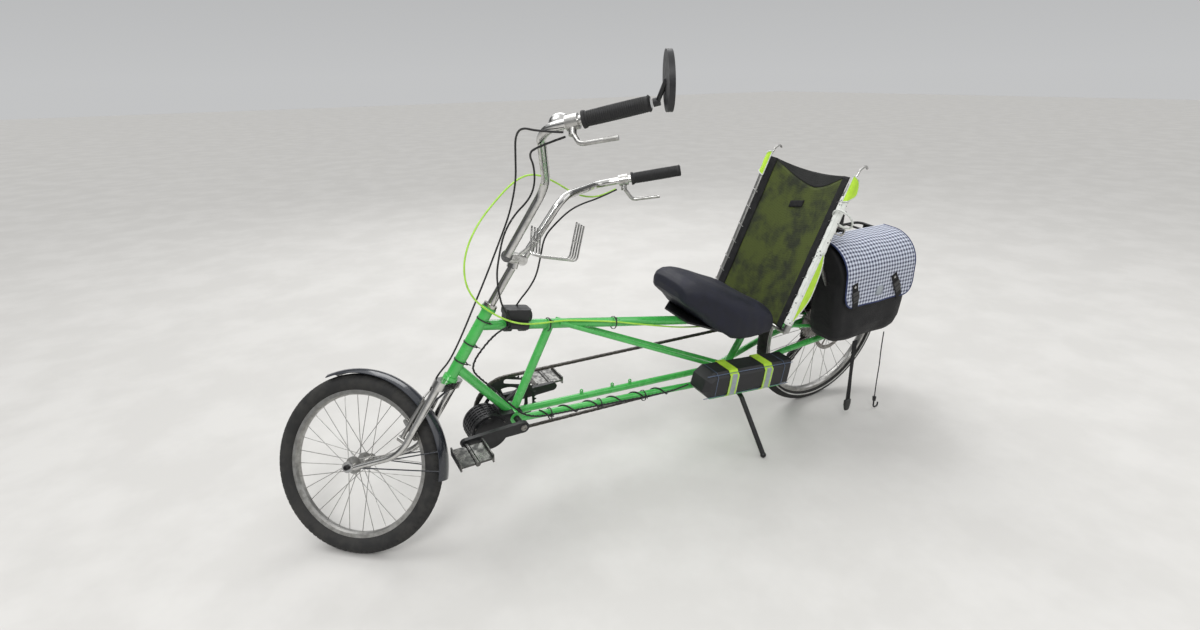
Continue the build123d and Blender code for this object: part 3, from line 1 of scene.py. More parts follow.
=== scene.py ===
import json
from math import asin, atan2, ceil, copysign, cos, degrees, exp, pi, radians, sin, sqrt

import bmesh
import bpy
from mathutils import Matrix, Vector


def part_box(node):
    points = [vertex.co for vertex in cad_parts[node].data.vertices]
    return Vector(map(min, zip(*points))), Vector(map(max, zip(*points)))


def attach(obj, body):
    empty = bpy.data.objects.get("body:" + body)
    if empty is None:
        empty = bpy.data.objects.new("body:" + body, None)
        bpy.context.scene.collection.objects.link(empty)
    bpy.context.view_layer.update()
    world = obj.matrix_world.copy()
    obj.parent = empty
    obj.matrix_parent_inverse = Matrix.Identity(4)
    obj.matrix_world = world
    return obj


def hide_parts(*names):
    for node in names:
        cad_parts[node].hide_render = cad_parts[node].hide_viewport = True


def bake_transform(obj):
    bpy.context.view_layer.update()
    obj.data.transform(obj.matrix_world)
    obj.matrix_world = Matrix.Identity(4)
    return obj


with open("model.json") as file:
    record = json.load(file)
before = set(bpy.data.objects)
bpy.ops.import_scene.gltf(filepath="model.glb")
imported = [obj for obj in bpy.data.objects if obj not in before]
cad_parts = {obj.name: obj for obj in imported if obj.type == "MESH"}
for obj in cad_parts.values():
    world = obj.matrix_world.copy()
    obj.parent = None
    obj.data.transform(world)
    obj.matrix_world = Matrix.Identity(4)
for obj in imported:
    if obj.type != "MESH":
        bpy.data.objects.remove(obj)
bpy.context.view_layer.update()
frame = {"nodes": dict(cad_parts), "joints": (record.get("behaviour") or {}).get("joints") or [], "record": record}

nodes = frame["nodes"]
joints = {j["name"]: j for j in frame["joints"]}
record = frame["record"]
slot_of = {s["node"]: s["material_slot"] for s in record["subparts"]}
scene = bpy.context.scene

# Driving places of the design, in millimetres: x forward, y to the left, z up with the bicycle held upright
REAR_AXLE, FRONT_AXLE, CRANK_AXLE = (0, 0, 318), (1740, 0, 250), (1284, 0, 314.5)
TOP_FRONT, TOP_REAR = (1367, 0, 618), (372, 0, 426)
LOWER_FRONT, LOWER_REAR = (1268, 21, 303), (500, 41, 236)
FAR_FRONT, FAR_REAR = (1268, -21, 303), (500, -41, 236)
STAY_BEND = (250, 55, 292)
MOTOR_X, MOTOR_Z, MOTOR_RADIUS = 1366, 292, 56.3
HEAD_ANGLE = radians(57)
LEAN = radians(5.25)
TURN = 2 * pi
SIDES = ((1, "left"), (-1, "right"))
UP = Vector((0, 0, 1))


# Design millimetres of the frame and of the straight steering, turned into metres of the row frame
def basis(x_way, y_way, z_way, origin, home):
    turn = Matrix((x_way, y_way, z_way)).transposed()
    shift = origin - turn @ (Vector(home) / 1000)
    return Matrix.Translation(shift) @ turn.to_4x4()


rear = Vector(joints["rear_wheel_spin"]["pos_m"])
side = Vector(joints["rear_wheel_spin"]["axis"]).normalized()
to_crank = (Vector(joints["crank_spin"]["pos_m"]) - rear).normalized()
tilt = atan2(CRANK_AXLE[2] - REAR_AXLE[2], CRANK_AXLE[0])
fore = to_crank * cos(tilt) + side.cross(to_crank) * sin(tilt)
FRAME = basis(fore, side, fore.cross(side), rear, REAR_AXLE)

steer_axis = Vector(joints["steering_turn"]["axis"]).normalized()
steer_side = Vector(joints["front_wheel_spin"]["axis"]).normalized()
steer_fore = steer_side.cross(steer_axis)
straight_fore = steer_fore * sin(HEAD_ANGLE) - steer_axis * cos(HEAD_ANGLE)
straight_up = steer_fore * cos(HEAD_ANGLE) + steer_axis * sin(HEAD_ANGLE)
STEER = basis(straight_fore, steer_side, straight_up, Vector(joints["front_wheel_spin"]["pos_m"]), FRONT_AXLE)


def F(x, y, z):
    """A place of the frame."""
    return FRAME @ (Vector((x, y, z)) / 1000)


def S(x, y, z):
    """A place of the steering, given as if it stood straight ahead."""
    return STEER @ (Vector((x, y, z)) / 1000)


def towards(place, x, y, z):
    """A design direction as a unit vector of the row frame."""
    return (place(x, y, z) - place(0, 0, 0)).normalized()


LEFT, STEER_LEFT, RAISED = towards(F, 0, 1, 0), towards(S, 0, 1, 0), towards(F, 0, 0, 1)


def added(name, data):
    """A new object of the scene."""
    obj = bpy.data.objects.new(name, data)
    scene.collection.objects.link(obj)
    return obj


def circle(count, start=0.0):
    """Angles of a full turn in equal steps."""
    return [TURN * (k + start) / count for k in range(count)]


# Camera, fitted to the photograph: it is placed from where the rear tyre meets the floor, in metres
YAW, PITCH, ROLL = (radians(a) for a in (30.25, 20.60, 0.90))
CAMERA_FROM_CONTACT = Vector((1.8751, 1.6233, 1.2439))
AXLE_FROM_CONTACT = Vector((0, 0.0291, 0.31675))
PHOTO_WIDTH, FOCAL_PIXELS, SHIFT_PIXELS = 1200, 644.4, -10
tyre_low, tyre_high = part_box("rear_tyre")
contact = (tyre_low + tyre_high) / 2 - AXLE_FROM_CONTACT
level = Vector((-sin(YAW), -cos(YAW), 0))
ahead = level * cos(PITCH) - UP * sin(PITCH)
right = level.cross(UP)
down = ahead.cross(right)
x_way = right * cos(ROLL) + down * sin(ROLL)
y_way = down * cos(ROLL) - right * sin(ROLL)
camera = added("camera", bpy.data.cameras.new("camera"))
looking = Matrix((x_way, -y_way, -ahead)).transposed().to_4x4()
camera.matrix_world = Matrix.Translation(contact + CAMERA_FROM_CONTACT) @ looking
camera.data.sensor_width = 36
camera.data.lens = FOCAL_PIXELS / PHOTO_WIDTH * camera.data.sensor_width
camera.data.shift_x = SHIFT_PIXELS / PHOTO_WIDTH
camera.data.clip_start, camera.data.clip_end = 0.05, 60
scene.camera = camera
scene.view_settings.view_transform = "Standard"


# Materials
def node(tree, kind, **values):
    """A shader node with its inputs or settings given by name."""
    made = tree.nodes.new("ShaderNode" + kind)
    for key, value in values.items():
        if key in made.inputs:
            made.inputs[key].default_value = value
        else:
            setattr(made, key, value)
    return made


def textured(tree, kind, source="Object", **values):
    """A node fed with texture coordinates, by default the object's own."""
    made = node(tree, kind, **values)
    tree.links.new(node(tree, "TexCoord").outputs[source], made.inputs["Vector"])
    return made


def maths(tree, operation, *inputs):
    """The output of a Math node fed by sockets or numbers."""
    made = node(tree, "Math", operation=operation)
    for socket, value in zip(made.inputs, inputs):
        if isinstance(value, bpy.types.NodeSocket):
            tree.links.new(value, socket)
        else:
            socket.default_value = value
    return made.outputs["Value"]


def ranged(tree, value, low, high, to_low, to_high):
    """A socket's value carried from one span into another."""
    span = node(tree, "MapRange")
    for key, limit in zip(("From Min", "From Max", "To Min", "To Max"), (low, high, to_low, to_high)):
        span.inputs[key].default_value = limit
    tree.links.new(value, span.inputs["Value"])
    return span.outputs["Result"]


def bumped(tree, height, strength):
    """Raises a material's surface by a height socket."""
    lift = node(tree, "Bump", Strength=strength, Distance=0.001)
    tree.links.new(height, lift.inputs["Height"])
    tree.links.new(lift.outputs["Normal"], tree.nodes["Principled BSDF"].inputs["Normal"])


def two_tone(made, share, colour, other):
    """Mixes two base colours by a share from 0 to 1."""
    tree = made.node_tree
    mix = node(tree, "Mix", data_type="RGBA")
    mix.inputs[6].default_value = (*colour, 1)
    mix.inputs[7].default_value = (*other, 1)
    tree.links.new(share, mix.inputs[0])
    tree.links.new(mix.outputs[2], tree.nodes["Principled BSDF"].inputs["Base Color"])
    return made


NOISE_LOW, NOISE_HIGH = 0.42, 0.62  # the noise values between which one finish turns into the other


def finish_of(name, colour, other=None, rough=0.5, rough_other=None, metal=0.0, scale=40.0, bump=0.0, coat=0.0,
              sheen=0.0, shine=0.5):
    """A material whose colour and roughness wander by noise, with an optional fine bump."""
    made = bpy.data.materials.new(name)
    made.use_nodes = True
    tree, bsdf = made.node_tree, made.node_tree.nodes["Principled BSDF"]
    links = tree.links
    noise = textured(tree, "TexNoise", Scale=scale, Detail=4.0, Roughness=0.6)
    ramp = node(tree, "ValToRGB")
    for stop, value, tone in zip(ramp.color_ramp.elements, (NOISE_LOW, NOISE_HIGH), (colour, other or colour)):
        stop.position, stop.color = value, (*tone, 1)
    links.new(noise.outputs["Fac"], ramp.inputs["Fac"])
    links.new(ramp.outputs["Color"], bsdf.inputs["Base Color"])
    if rough_other is None:
        bsdf.inputs["Roughness"].default_value = rough
    else:
        span = ranged(tree, noise.outputs["Fac"], NOISE_LOW, NOISE_HIGH, rough, rough_other)
        links.new(span, bsdf.inputs["Roughness"])
    settings = {"Metallic": metal, "Coat Weight": coat, "Coat Roughness": 0.06, "Sheen Weight": sheen,
                "Specular IOR Level": shine}
    for key, value in settings.items():
        bsdf.inputs[key].default_value = value
    if bump:
        bumped(tree, textured(tree, "TexNoise", Scale=scale * 4, Detail=5.0).outputs["Fac"], bump)
    return made


def weave(made, scale, strength):
    """Adds a plain weave's bump to a cloth material."""
    tree = made.node_tree
    waves = []
    for way in ("X", "Z"):
        wave = textured(tree, "TexWave", Scale=scale, Distortion=0.6, bands_direction=way)
        waves.append(wave.outputs["Fac"])
    bumped(tree, maths(tree, "MULTIPLY", *waves), strength)
    return made


def spotted(name, colour, spot, scale, size):
    """A plain finish with small round spots."""
    made = finish_of(name, colour, rough=0.5, rough_other=0.65, scale=50)
    tree = made.node_tree
    cells = textured(tree, "TexVoronoi", Scale=scale, Randomness=0.9)
    return two_tone(made, maths(tree, "LESS_THAN", cells.outputs["Distance"], size), colour, spot)


def gingham(name, light, dark, period):
    """A woven check: stripes both ways, darkest where they cross; the period is in millimetres."""
    made = finish_of(name, light, rough=0.7, scale=40, sheen=0.2)
    tree = made.node_tree
    place = node(tree, "UVMap")
    split = node(tree, "SeparateXYZ")
    tree.links.new(place.outputs["UV"], split.inputs["Vector"])
    stripes = []
    for axis in ("X", "Y"):
        run = maths(tree, "FRACT", maths(tree, "MULTIPLY", split.outputs[axis], 1000 / period))
        stripes.append(maths(tree, "GREATER_THAN", run, 0.5))
    both = maths(tree, "MULTIPLY", maths(tree, "ADD", *stripes), 0.5)
    return two_tone(made, both, light, dark)


def open_mesh(name, colour, other, holes, scale):
    """A see-through knit: holes between threads show what lies behind."""
    made = finish_of(name, colour, other, rough=0.75, scale=14)
    tree = made.node_tree
    cells = textured(tree, "TexVoronoi", Scale=scale, Randomness=0.15)
    edge = ranged(tree, cells.outputs["Distance"], 0.10, 0.32, 1 - holes, 1.0)
    tree.links.new(edge, tree.nodes["Principled BSDF"].inputs["Alpha"])
    return made


FINISHES = (
    # name, colour, second colour, roughness from and to, scale of the noise, other settings
    ("frame_green", (0.055, 0.42, 0.075), (0.07, 0.47, 0.09), 0.22, 0.32, 18, {"coat": 0.8}),
    ("bare_alloy", (0.46, 0.455, 0.44), (0.33, 0.325, 0.31), 0.28, 0.42, 60, {"metal": 1.0}),
    ("chrome", (0.62, 0.615, 0.60), (0.50, 0.495, 0.48), 0.10, 0.22, 50, {"metal": 1.0}),
    ("black_metal", (0.010, 0.010, 0.011), (0.018, 0.018, 0.019), 0.38, 0.52, 70, {"metal": 0.2, "bump": 0.08}),
    ("steel", (0.30, 0.29, 0.27), (0.16, 0.15, 0.14), 0.35, 0.5, 90, {"metal": 1.0}),
    ("chain_steel", (0.085, 0.078, 0.070), (0.040, 0.036, 0.032), 0.38, 0.55, 120, {"metal": 0.8}),
    ("pedal_metal", (0.17, 0.168, 0.16), (0.07, 0.07, 0.068), 0.25, 0.45, 55, {"metal": 1.0}),
    ("tyre", (0.012, 0.012, 0.012), (0.032, 0.031, 0.029), 0.75, 0.92, 30, {"bump": 0.3}),
    ("rubber", (0.007, 0.007, 0.008), (0.015, 0.015, 0.015), 0.6, 0.75, 60, {"bump": 0.1}),
    ("black_plastic", (0.008, 0.008, 0.010), (0.015, 0.015, 0.017), 0.42, 0.55, 80, {"bump": 0.12}),
    ("guard_plastic", (0.020, 0.023, 0.030), (0.028, 0.031, 0.040), 0.16, 0.26, 20, {"coat": 0.5}),
    ("lime_cable", (0.36, 0.66, 0.06), (0.42, 0.74, 0.09), 0.35, 0.45, 40, {}),
    ("mirror_face", (0.85, 0.87, 0.88), (0.80, 0.82, 0.83), 0.04, 0.09, 30, {"metal": 1.0}),
    ("sidewall", (0.60, 0.60, 0.57), (0.42, 0.42, 0.40), 0.6, 0.8, 24, {}),
    ("tie", (0.010, 0.010, 0.010), (0.020, 0.020, 0.020), 0.35, 0.5, 60, {}),
    # grey-blue of the battery's seam lines and of the painted highlight along its long edges
    ("edge_blue", (0.10, 0.14, 0.22), (0.14, 0.18, 0.26), 0.3, 0.45, 40, {}),
    ("steel_bright", (0.62, 0.62, 0.61), (0.46, 0.46, 0.45), 0.22, 0.36, 80, {"metal": 1.0}),
)
CLOTHS = (
    # name, colour, second colour, roughness from and to, scale of the noise, of the weave, its depth, other settings
    ("mesh_fabric", (0.085, 0.110, 0.040), (0.055, 0.070, 0.030), 0.8, None, 40, 160, 0.4, {}),
    ("cushion_fabric", (0.005, 0.006, 0.014), (0.009, 0.010, 0.022), 0.55, 0.66, 26, 220, 0.2, {"shine": 0.4}),
    ("bag_fabric", (0.006, 0.006, 0.007), (0.012, 0.012, 0.013), 0.6, 0.75, 22, 260, 0.3, {"shine": 0.35}),
    ("neon_fabric", (0.52, 0.82, 0.05), (0.44, 0.72, 0.04), 0.6, None, 30, 240, 0.4, {}),
    ("navy_binding", (0.018, 0.030, 0.105), (0.026, 0.040, 0.130), 0.7, None, 60, 300, 0.4, {}),
    ("white_piping", (0.72, 0.74, 0.70), (0.56, 0.58, 0.55), 0.6, None, 60, 300, 0.4, {}),
    ("black_web", (0.006, 0.006, 0.007), (0.012, 0.012, 0.013), 0.75, None, 50, 300, 0.4, {"shine": 0.3}),
    ("silver_patch", (0.42, 0.46, 0.50), (0.34, 0.38, 0.43), 0.35, None, 50, 300, 0.4, {"metal": 0.5}),
    ("elastic", (0.012, 0.012, 0.013), (0.05, 0.05, 0.05), 0.7, None, 300, 900, 0.4, {}),
)
looks = {}
for name, colour, other, rough, rough_other, scale, rest in FINISHES:
    looks[name] = finish_of(name, colour, other, rough, rough_other, scale=scale, **rest)
for name, colour, other, rough, rough_other, scale, weave_scale, depth, rest in CLOTHS:
    plain = finish_of(name, colour, other, rough, rough_other, scale=scale, **rest)
    looks[name] = weave(plain, weave_scale, depth)
looks["gingham"] = gingham("gingham", (0.62, 0.66, 0.76), (0.018, 0.025, 0.075), 14)
looks["white_tape"] = spotted("white_tape", (0.74, 0.76, 0.72), (0.02, 0.02, 0.02), 75, 0.17)
looks["olive_mesh"] = open_mesh("olive_mesh", (0.052, 0.070, 0.006), (0.013, 0.018, 0.004), 0.30, 330)
looks["black_mesh"] = open_mesh("black_mesh", (0.006, 0.007, 0.006), (0.012, 0.013, 0.012), 0.25, 330)


def paint(obj, look):
    """Gives a piece its look."""
    obj.data.materials.clear()
    obj.data.materials.append(looks[look])


for name, obj in nodes.items():
    paint(obj, slot_of[name])
for name, look in (("chain", "chain_steel"), ("pedal_left", "pedal_metal"), ("pedal_right", "pedal_metal")):
    paint(nodes[name], look)


# Mesh helpers
def piece(name, verts, faces, look, angle=40, uvs=None, body="frame"):
    """A mesh from vertices in the row frame. It rides a body, or none yet where body is None."""
    data = bpy.data.meshes.new(name)
    data.from_pydata([tuple(v) for v in verts], [], [tuple(f) for f in faces])
    data.polygons.foreach_set("use_smooth", [True] * len(data.polygons))
    data.set_sharp_from_angle(angle=radians(angle))
    if uvs is not None:
        layer = data.uv_layers.new(name="flat")
        for loop in data.loops:
            layer.data[loop.index].uv = uvs[loop.vertex_index]
    obj = added(name, data)
    paint(obj, look)
    if body:
        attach(obj, body)
    return obj


def route(points, fine=6):
    """Points read from a NURBS line whose control points are the given ones."""
    curve = bpy.data.curves.new("route", "CURVE")
    curve.dimensions = "3D"
    curve.resolution_u = fine
    spline = curve.splines.new("NURBS")
    spline.points.add(len(points) - 1)
    for place, p in zip(spline.points, points):
        place.co = (*p, 1)
    spline.order_u = 3
    spline.use_endpoint_u = True
    holder = bpy.data.objects.new("route", curve)
    read = bpy.data.meshes.new_from_object(holder)
    line = [v.co.copy() for v in read.vertices]
    bpy.data.objects.remove(holder)
    bpy.data.curves.remove(curve)
    bpy.data.meshes.remove(read)
    return line


def frames(points, closed=False):
    """A direction and a steady normal at each point."""
    ways = []
    count = len(points)
    for i in range(count):
        before = points[i - 1] if i or closed else points[0]
        after = points[(i + 1) % count] if i < count - 1 or closed else points[-1]
        ways.append((after - before).normalized())
    normal = ways[0].orthogonal().normalized()
    normals = []
    for way in ways:
        normal = (normal - way * normal.dot(way)).normalized()
        normals.append(normal)
    return ways, normals


def loft(rings, closed=False, caps=True):
    """Faces between equal rings of vertices."""
    size = len(rings[0])
    verts = [v for ring in rings for v in ring]
    faces = []
    for i in range(len(rings) if closed else len(rings) - 1):
        a, b = i * size, ((i + 1) % len(rings)) * size
        for k in range(size):
            faces.append((a + k, a + (k + 1) % size, b + (k + 1) % size, b + k))
    if caps and not closed:
        faces.append(tuple(range(size))[::-1])
        faces.append(tuple(range(len(verts) - size, len(verts))))
    return verts, faces


def tube_mesh(points, radius, sides=10, closed=False):
    """A round bar's mesh; radius in millimetres."""
    rings = []
    for p, way, n in zip(points, *frames(points, closed)):
        b = way.cross(n)
        rings.append([p + (n * cos(a) + b * sin(a)) * (radius / 1000) for a in circle(sides)])
    return loft(rings, closed)


def tube(name, points, radius, look, sides=10, closed=False, body="frame"):
    """A round bar along points in the row frame; radius in millimetres."""
    return piece(name, *tube_mesh(points, radius, sides, closed), look, body=body)


def strap_mesh(points, wide, thick, side_way):
    """A flat band along points; wide and thick in millimetres, side_way its width's direction."""
    ways, _ = frames(points)
    rings = []
    for i, (p, way) in enumerate(zip(points, ways)):
        w = side_way[i] if isinstance(side_way, (list, tuple)) else side_way
        w = (w - way * w.dot(way)).normalized()
        n = way.cross(w)
        half, t = wide / 2000, thick / 2000
        rings.append([p + w * half - n * t, p + w * half + n * t, p - w * half + n * t, p - w * half - n * t])
    return loft(rings)


def joined(name, meshes, look, angle=40):
    """One piece of several meshes."""
    verts, faces = [], []
    for v, f in meshes:
        base = len(verts)
        verts += list(v)
        faces += [tuple(i + base for i in face) for face in f]
    return piece(name, verts, faces, look, angle)


def grid(name, fn, nu, nv, look, wrap_u=False, thick=0.0, level=0, uv=None, body="frame"):
    """A surface of points fn(u, v) for u and v from 0 to 1."""
    cols = nu if wrap_u else nu + 1
    shares = [(i / nu, j / nv) for j in range(nv + 1) for i in range(cols)]
    verts = [fn(u, v) for u, v in shares]
    uvs = [uv(u, v) for u, v in shares] if uv else shares
    faces = []
    for j in range(nv):
        for i in range(nu):
            a, b = j * cols + i, j * cols + (i + 1) % cols
            faces.append((a, b, b + cols, a + cols))
    obj = piece(name, verts, faces, look, 60, uvs, body)
    if thick:
        solid = obj.modifiers.new("thick", "SOLIDIFY")
        solid.thickness, solid.offset = thick / 1000, 0
    if level:
        fine = obj.modifiers.new("fine", "SUBSURF")
        fine.levels = fine.render_levels = level
    return obj


def between(x, table):
    """The last three columns of a table, read at a value of its first."""
    for a, b in zip(table, table[1:]):
        if x <= b[0]:
            t = max(0.0, (x - a[0]) / (b[0] - a[0]))
            return [a[k] + (b[k] - a[k]) * t for k in (1, 2, 3)]
    return list(table[-1][1:])


def squared(value, power):
    """A cosine or sine bent towards a square's corners."""
    return copysign(abs(value) ** power, value)


def close_ends(obj, sides):
    """Fills the open ends of a wrapped grid and turns its faces outwards."""
    shell = bmesh.new()
    shell.from_mesh(obj.data)
    bmesh.ops.holes_fill(shell, edges=shell.edges, sides=sides)
    bmesh.ops.recalc_face_normals(shell, faces=shell.faces)
    shell.to_mesh(obj.data)
    shell.free()


def wobble(p, size, amount, seed=0):
    """A smooth, steady wander in millimetres at a place in millimetres."""
    x, y, z = (c / size for c in p)
    return amount * (sin(1.7 * x + seed) * cos(1.3 * z + 2 * seed) + 0.6 * sin(2.9 * z - 1.1 * y + seed)
                     + 0.4 * cos(4.3 * x + 2.3 * y - seed)) / 2


# Tyres: tread cut into the crown, the CAD's section kept
BEAD_HALF = 12.5
GROOVE_IN, GROOVE_OUT, TREAD_EDGE = 12, 17, 62  # degrees from the crown's middle
STRIPE = (96, 108)
MIDDLE_CUT, GROOVE_CUT, BLOCK_CUT = 0.7, 1.1, 1.3


def tyre(name, place, body, centre, radius, width, bead, blocks, stripe=None):
    half = (radius - bead + 1.5) / 2
    middle = radius - half
    start = pi - asin(BEAD_HALF / (width / 2))
    around, across = 900, 44

    def point(u, v):
        phi = -start + 2 * start * v
        turn = TURN * u
        lane = abs(degrees(phi))
        cut = 0.0
        if lane < TREAD_EDGE:
            wave = (u * blocks + (0.25 if phi > 0 else 0.0) + lane / TREAD_EDGE * 0.55) % 1
            if GROOVE_IN < lane < GROOVE_OUT:
                cut = GROOVE_CUT
            elif lane >= GROOVE_OUT and wave < 0.24:
                cut = BLOCK_CUT
            elif lane <= GROOVE_IN and (u * blocks * 2) % 1 < 0.16:
                cut = MIDDLE_CUT
        r = middle + (half - cut) * cos(phi)
        y = (width / 2 - cut) * sin(phi)
        return place(centre[0] + r * cos(turn), centre[1] + y, centre[2] + r * sin(turn))

    made = grid(name, point, around, across, "tyre", wrap_u=True, body=body)
    if stripe:
        made.data.materials.append(looks["sidewall"])
        for poly in made.data.polygons:
            row = (poly.index // around + 0.5) / across
            angle = degrees(abs(-start + 2 * start * row))
            if stripe[0] < angle < stripe[1]:
                poly.material_index = 1
    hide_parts(name.replace("_tread", ""))


tyre("front_tyre_tread", S, "front_wheel", FRONT_AXLE, 250, 47, 203, 92)
tyre("rear_tyre_tread", F, "rear_wheel", REAR_AXLE, 318, 40, 279.5, 116, stripe=STRIPE)


# Seat cushion: a foam wedge under a stretched cover, high at its nose, dished at the back
SEAT = (
    # x, top, low edge, half width
    (428, 520, 474, 140), (432, 532, 456, 158), (446, 550, 449, 168), (480, 568, 445, 173), (520, 584, 443, 174),
    (560, 601, 444, 173), (600, 618, 452, 167), (640, 635, 478, 152), (676, 648, 520, 133), (706, 653, 552, 117),
    (730, 650, 572, 102), (746, 640, 586, 86), (754, 622, 598, 66),
)


PAN_SLOPE, PAN_RISE = 0.1933, 21.5


def pan_height(x):
    """Height of the seat pan's top, which follows the top tube."""
    return TOP_REAR[2] + (x - TOP_REAR[0]) * PAN_SLOPE + PAN_RISE


def cushion_point(u, v):
    x = SEAT[0][0] + (SEAT[-1][0] - SEAT[0][0]) * (0.5 - 0.5 * cos(pi * v)) ** 0.9
    top, low, half = between(x, SEAT)
    under = max(low + 4, min(pan_height(x), top - 40))
    angle = TURN * u
    c, s = cos(angle), sin(angle)
    y = half * squared(c, 0.55)
    mid = low + (top - low) * 0.42
    if s >= 0:
        z = mid + (top - mid) * s ** 0.62
        dish = 9 * exp(-(y / 95) ** 2) * min(1, max(0, (640 - x) / 120))
        z -= dish * s
    else:
        z = mid - (mid - low) * abs(s) ** 0.5
        if abs(y) < 146:
            lift = min(1, (146 - abs(y)) / 10)
            z = max(z, low + (under - low) * lift)
    # folds of the cover under the nose and along the skirt
    if s < 0.75 and abs(y) > 50:
        near = exp(-((x - 668) / 34) ** 2)
        y += copysign(3.4 * near * sin(x * 0.30 + z * 0.05), y)
        y += copysign(1.6 * sin(x * 0.085 + 0.6) * max(0, 0.75 - s), y)
    z += wobble((x, y, z), 60, 0.9, 1)
    return F(x, y, z)


cushion = grid("cushion", cushion_point, 72, 48, "cushion_fabric", wrap_u=True, level=1, body=None)
close_ends(cushion, 80)
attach(cushion, "frame")
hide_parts("seat_cushion")


# Seat back: see-through mesh laced between the rails, with dark bands along them
RAIL_LOW, RAIL_HIGH, RAIL_Y = Vector((404, 0, 460.7)), Vector((212, 0, 928)), 187
rail_way = (RAIL_HIGH - RAIL_LOW).normalized()
rail_length = (RAIL_HIGH - RAIL_LOW).length
rail_back = Vector((-rail_way.z, 0, rail_way.x))
MESH_HALF, MESH_FOOT, MESH_TOP, BAND_IN, BAND_WIDE = 150, 0.015, 1.040, 146, 28


def on_back(up, y, out=0.0):
    """A place on the seat back: up from 0 to 1 along the rails, out towards the rider in millimetres."""
    p = RAIL_LOW + rail_way * (rail_length * up) - rail_back * out
    return F(p.x, y, p.z)


def back_sag(y):
    """How far the laced mesh stands in front of the rails' middle: it hangs back between them."""
    return 7 - 20 * (1 - (y / 178) ** 2)


def scoop(y):
    """Height of the dark yoke's lower edge."""
    away = (y - 45) / (195 if y < 45 else 105)
    return 0.925 + 0.108 * min(1.0, abs(away)) ** 1.5


def panel(u, v):
    y = MESH_HALF * (2 * u - 1)
    up = MESH_FOOT + (scoop(y) - MESH_FOOT) * v
    return on_back(up, y, back_sag(y) + wobble((y, up * 500, 0), 50, 1.2, 2))


def yoke(u, v):
    y = MESH_HALF * (2 * u - 1)
    top = MESH_TOP - 0.020 * (1 - (y / MESH_HALF) ** 2)
    return on_back(scoop(y) + (top - scoop(y)) * v, y, back_sag(y) + 0.6)


# Heights of the lacing hooks along the left and the right rail, read from the photograph
HOOKS = {1: (0.125, 0.25, 0.37, 0.506, 0.631, 0.754, 0.878), -1: (0.10, 0.187, 0.285, 0.403, 0.526, 0.662, 0.783)}
# One hook's line: share up the rail, y, and how far out towards the rider
HOOK_LINE = ((-0.006, 166, 5), (0, 172, 11), (0.008, 181, 13), (0.012, 192, 10), (0.016, 199, 2), (0.012, 198, -7))

mesh_panel = grid("mesh_panel", panel, 40, 48, "olive_mesh", thick=1.2)
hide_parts("seat_mesh")
mesh_yoke = grid("mesh_yoke", yoke, 40, 10, "black_mesh", thick=1.4)
for sign, label in SIDES:
    def band(u, v, sign=sign):
        y = sign * (BAND_IN + BAND_WIDE * u)
        up = MESH_FOOT + (MESH_TOP - MESH_FOOT) * v
        return on_back(up, y, back_sag(y) + 1.4 + wobble((y, up * 500, 0), 40, 0.8, sign))
    edge = grid("mesh_band_" + label, band, 4, 60, "black_web", thick=1.6)
    hooks = []
    for up in HOOKS[sign]:
        line = [on_back(up + rise, sign * y, out) for rise, y, out in HOOK_LINE]
        hooks.append(tube_mesh(route(line), 1.1, 8))
    joined("lacing_hooks_" + label, hooks, "steel_bright")


def back_patch(u, v):
    return on_back(0.755 + 0.045 * v + 0.028 * u, -24 + 54 * u, back_sag(0) + 2.4)


grid("back_patch", back_patch, 8, 4, "black_web", thick=1.5)


# Left rail's padded sleeve, its cloth leaves, and the ring clipped on it
def round_rail(up, angle, radius, side):
    """A point round a rail; angle 0 faces the rider, growing outwards."""
    return on_back(up, side * (RAIL_Y + radius * sin(angle)), radius * cos(angle))


def sleeve(u, v):
    end = min(1.0, v / 0.02, (1 - v) / 0.02)
    puff = 13.4 + 0.9 * sin(v * 61) * sin(v * 17 + 1) - 1.6 * (1 - end)
    return round_rail(0.055 + 0.865 * v, TURN * u, puff, 1)


rail_sleeve = grid("rail_sleeve", sleeve, 20, 90, "white_tape", wrap_u=True)
seam = [round_rail(0.06 + 0.85 * k / 40, 0.5 + 0.08 * sin(k * 0.9), 14.0, 1) for k in range(41)]
tube("rail_sleeve_seam", seam, 0.7, "white_piping", 6)

LEAF_RADIUS = 14.6  # where a leaf lies on the taped rail


def leaf(name, side, low, high, wide, start, curl):
    """A pointed piece of bright cloth on a rail's outer side, with a light edge."""
    def across(v):
        return wide * sin(pi * min(1, max(0, v))) ** 0.75

    def point(u, v):
        reach = across(v) * u
        angle = start + min(reach, curl) / LEAF_RADIUS
        free = max(0.0, reach - curl)
        flat = angle + pi / 2 - 0.35
        y = RAIL_Y + LEAF_RADIUS * sin(angle) + free * sin(flat)
        out = LEAF_RADIUS * cos(angle) + free * cos(flat) + 1.5 * sin(v * 13) * u
        return on_back(low + (high - low) * v, side * y, out)

    cloth = grid(name, point, 14, 40, "neon_fabric", thick=1.2)
    trim = [tube(name + "_edge", [point(1, k / 40) for k in range(41)], 2.4, "white_piping", 8),
            tube(name + "_seam", [point(0, k / 40) for k in range(41)], 2.2, "white_piping", 8)]
    return cloth


low_leaf = leaf("leaf_low_left", 1, 0.075, 0.56, 38, 1.15, 12)
leaf("leaf_top_left", 1, 0.885, 1.055, 46, 0.2, 26)
leaf("leaf_top_right", -1, 0.90, 1.075, 50, -0.9, 44)
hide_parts("seat_cover")

ring_at = [on_back(0.79 - 0.042 * sin(a), RAIL_Y + 24 + 38 * cos(a), 2 - 24.3 * sin(a)) for a in circle(36)]
tube("clip_ring", ring_at, 3.0, "white_piping", closed=True)


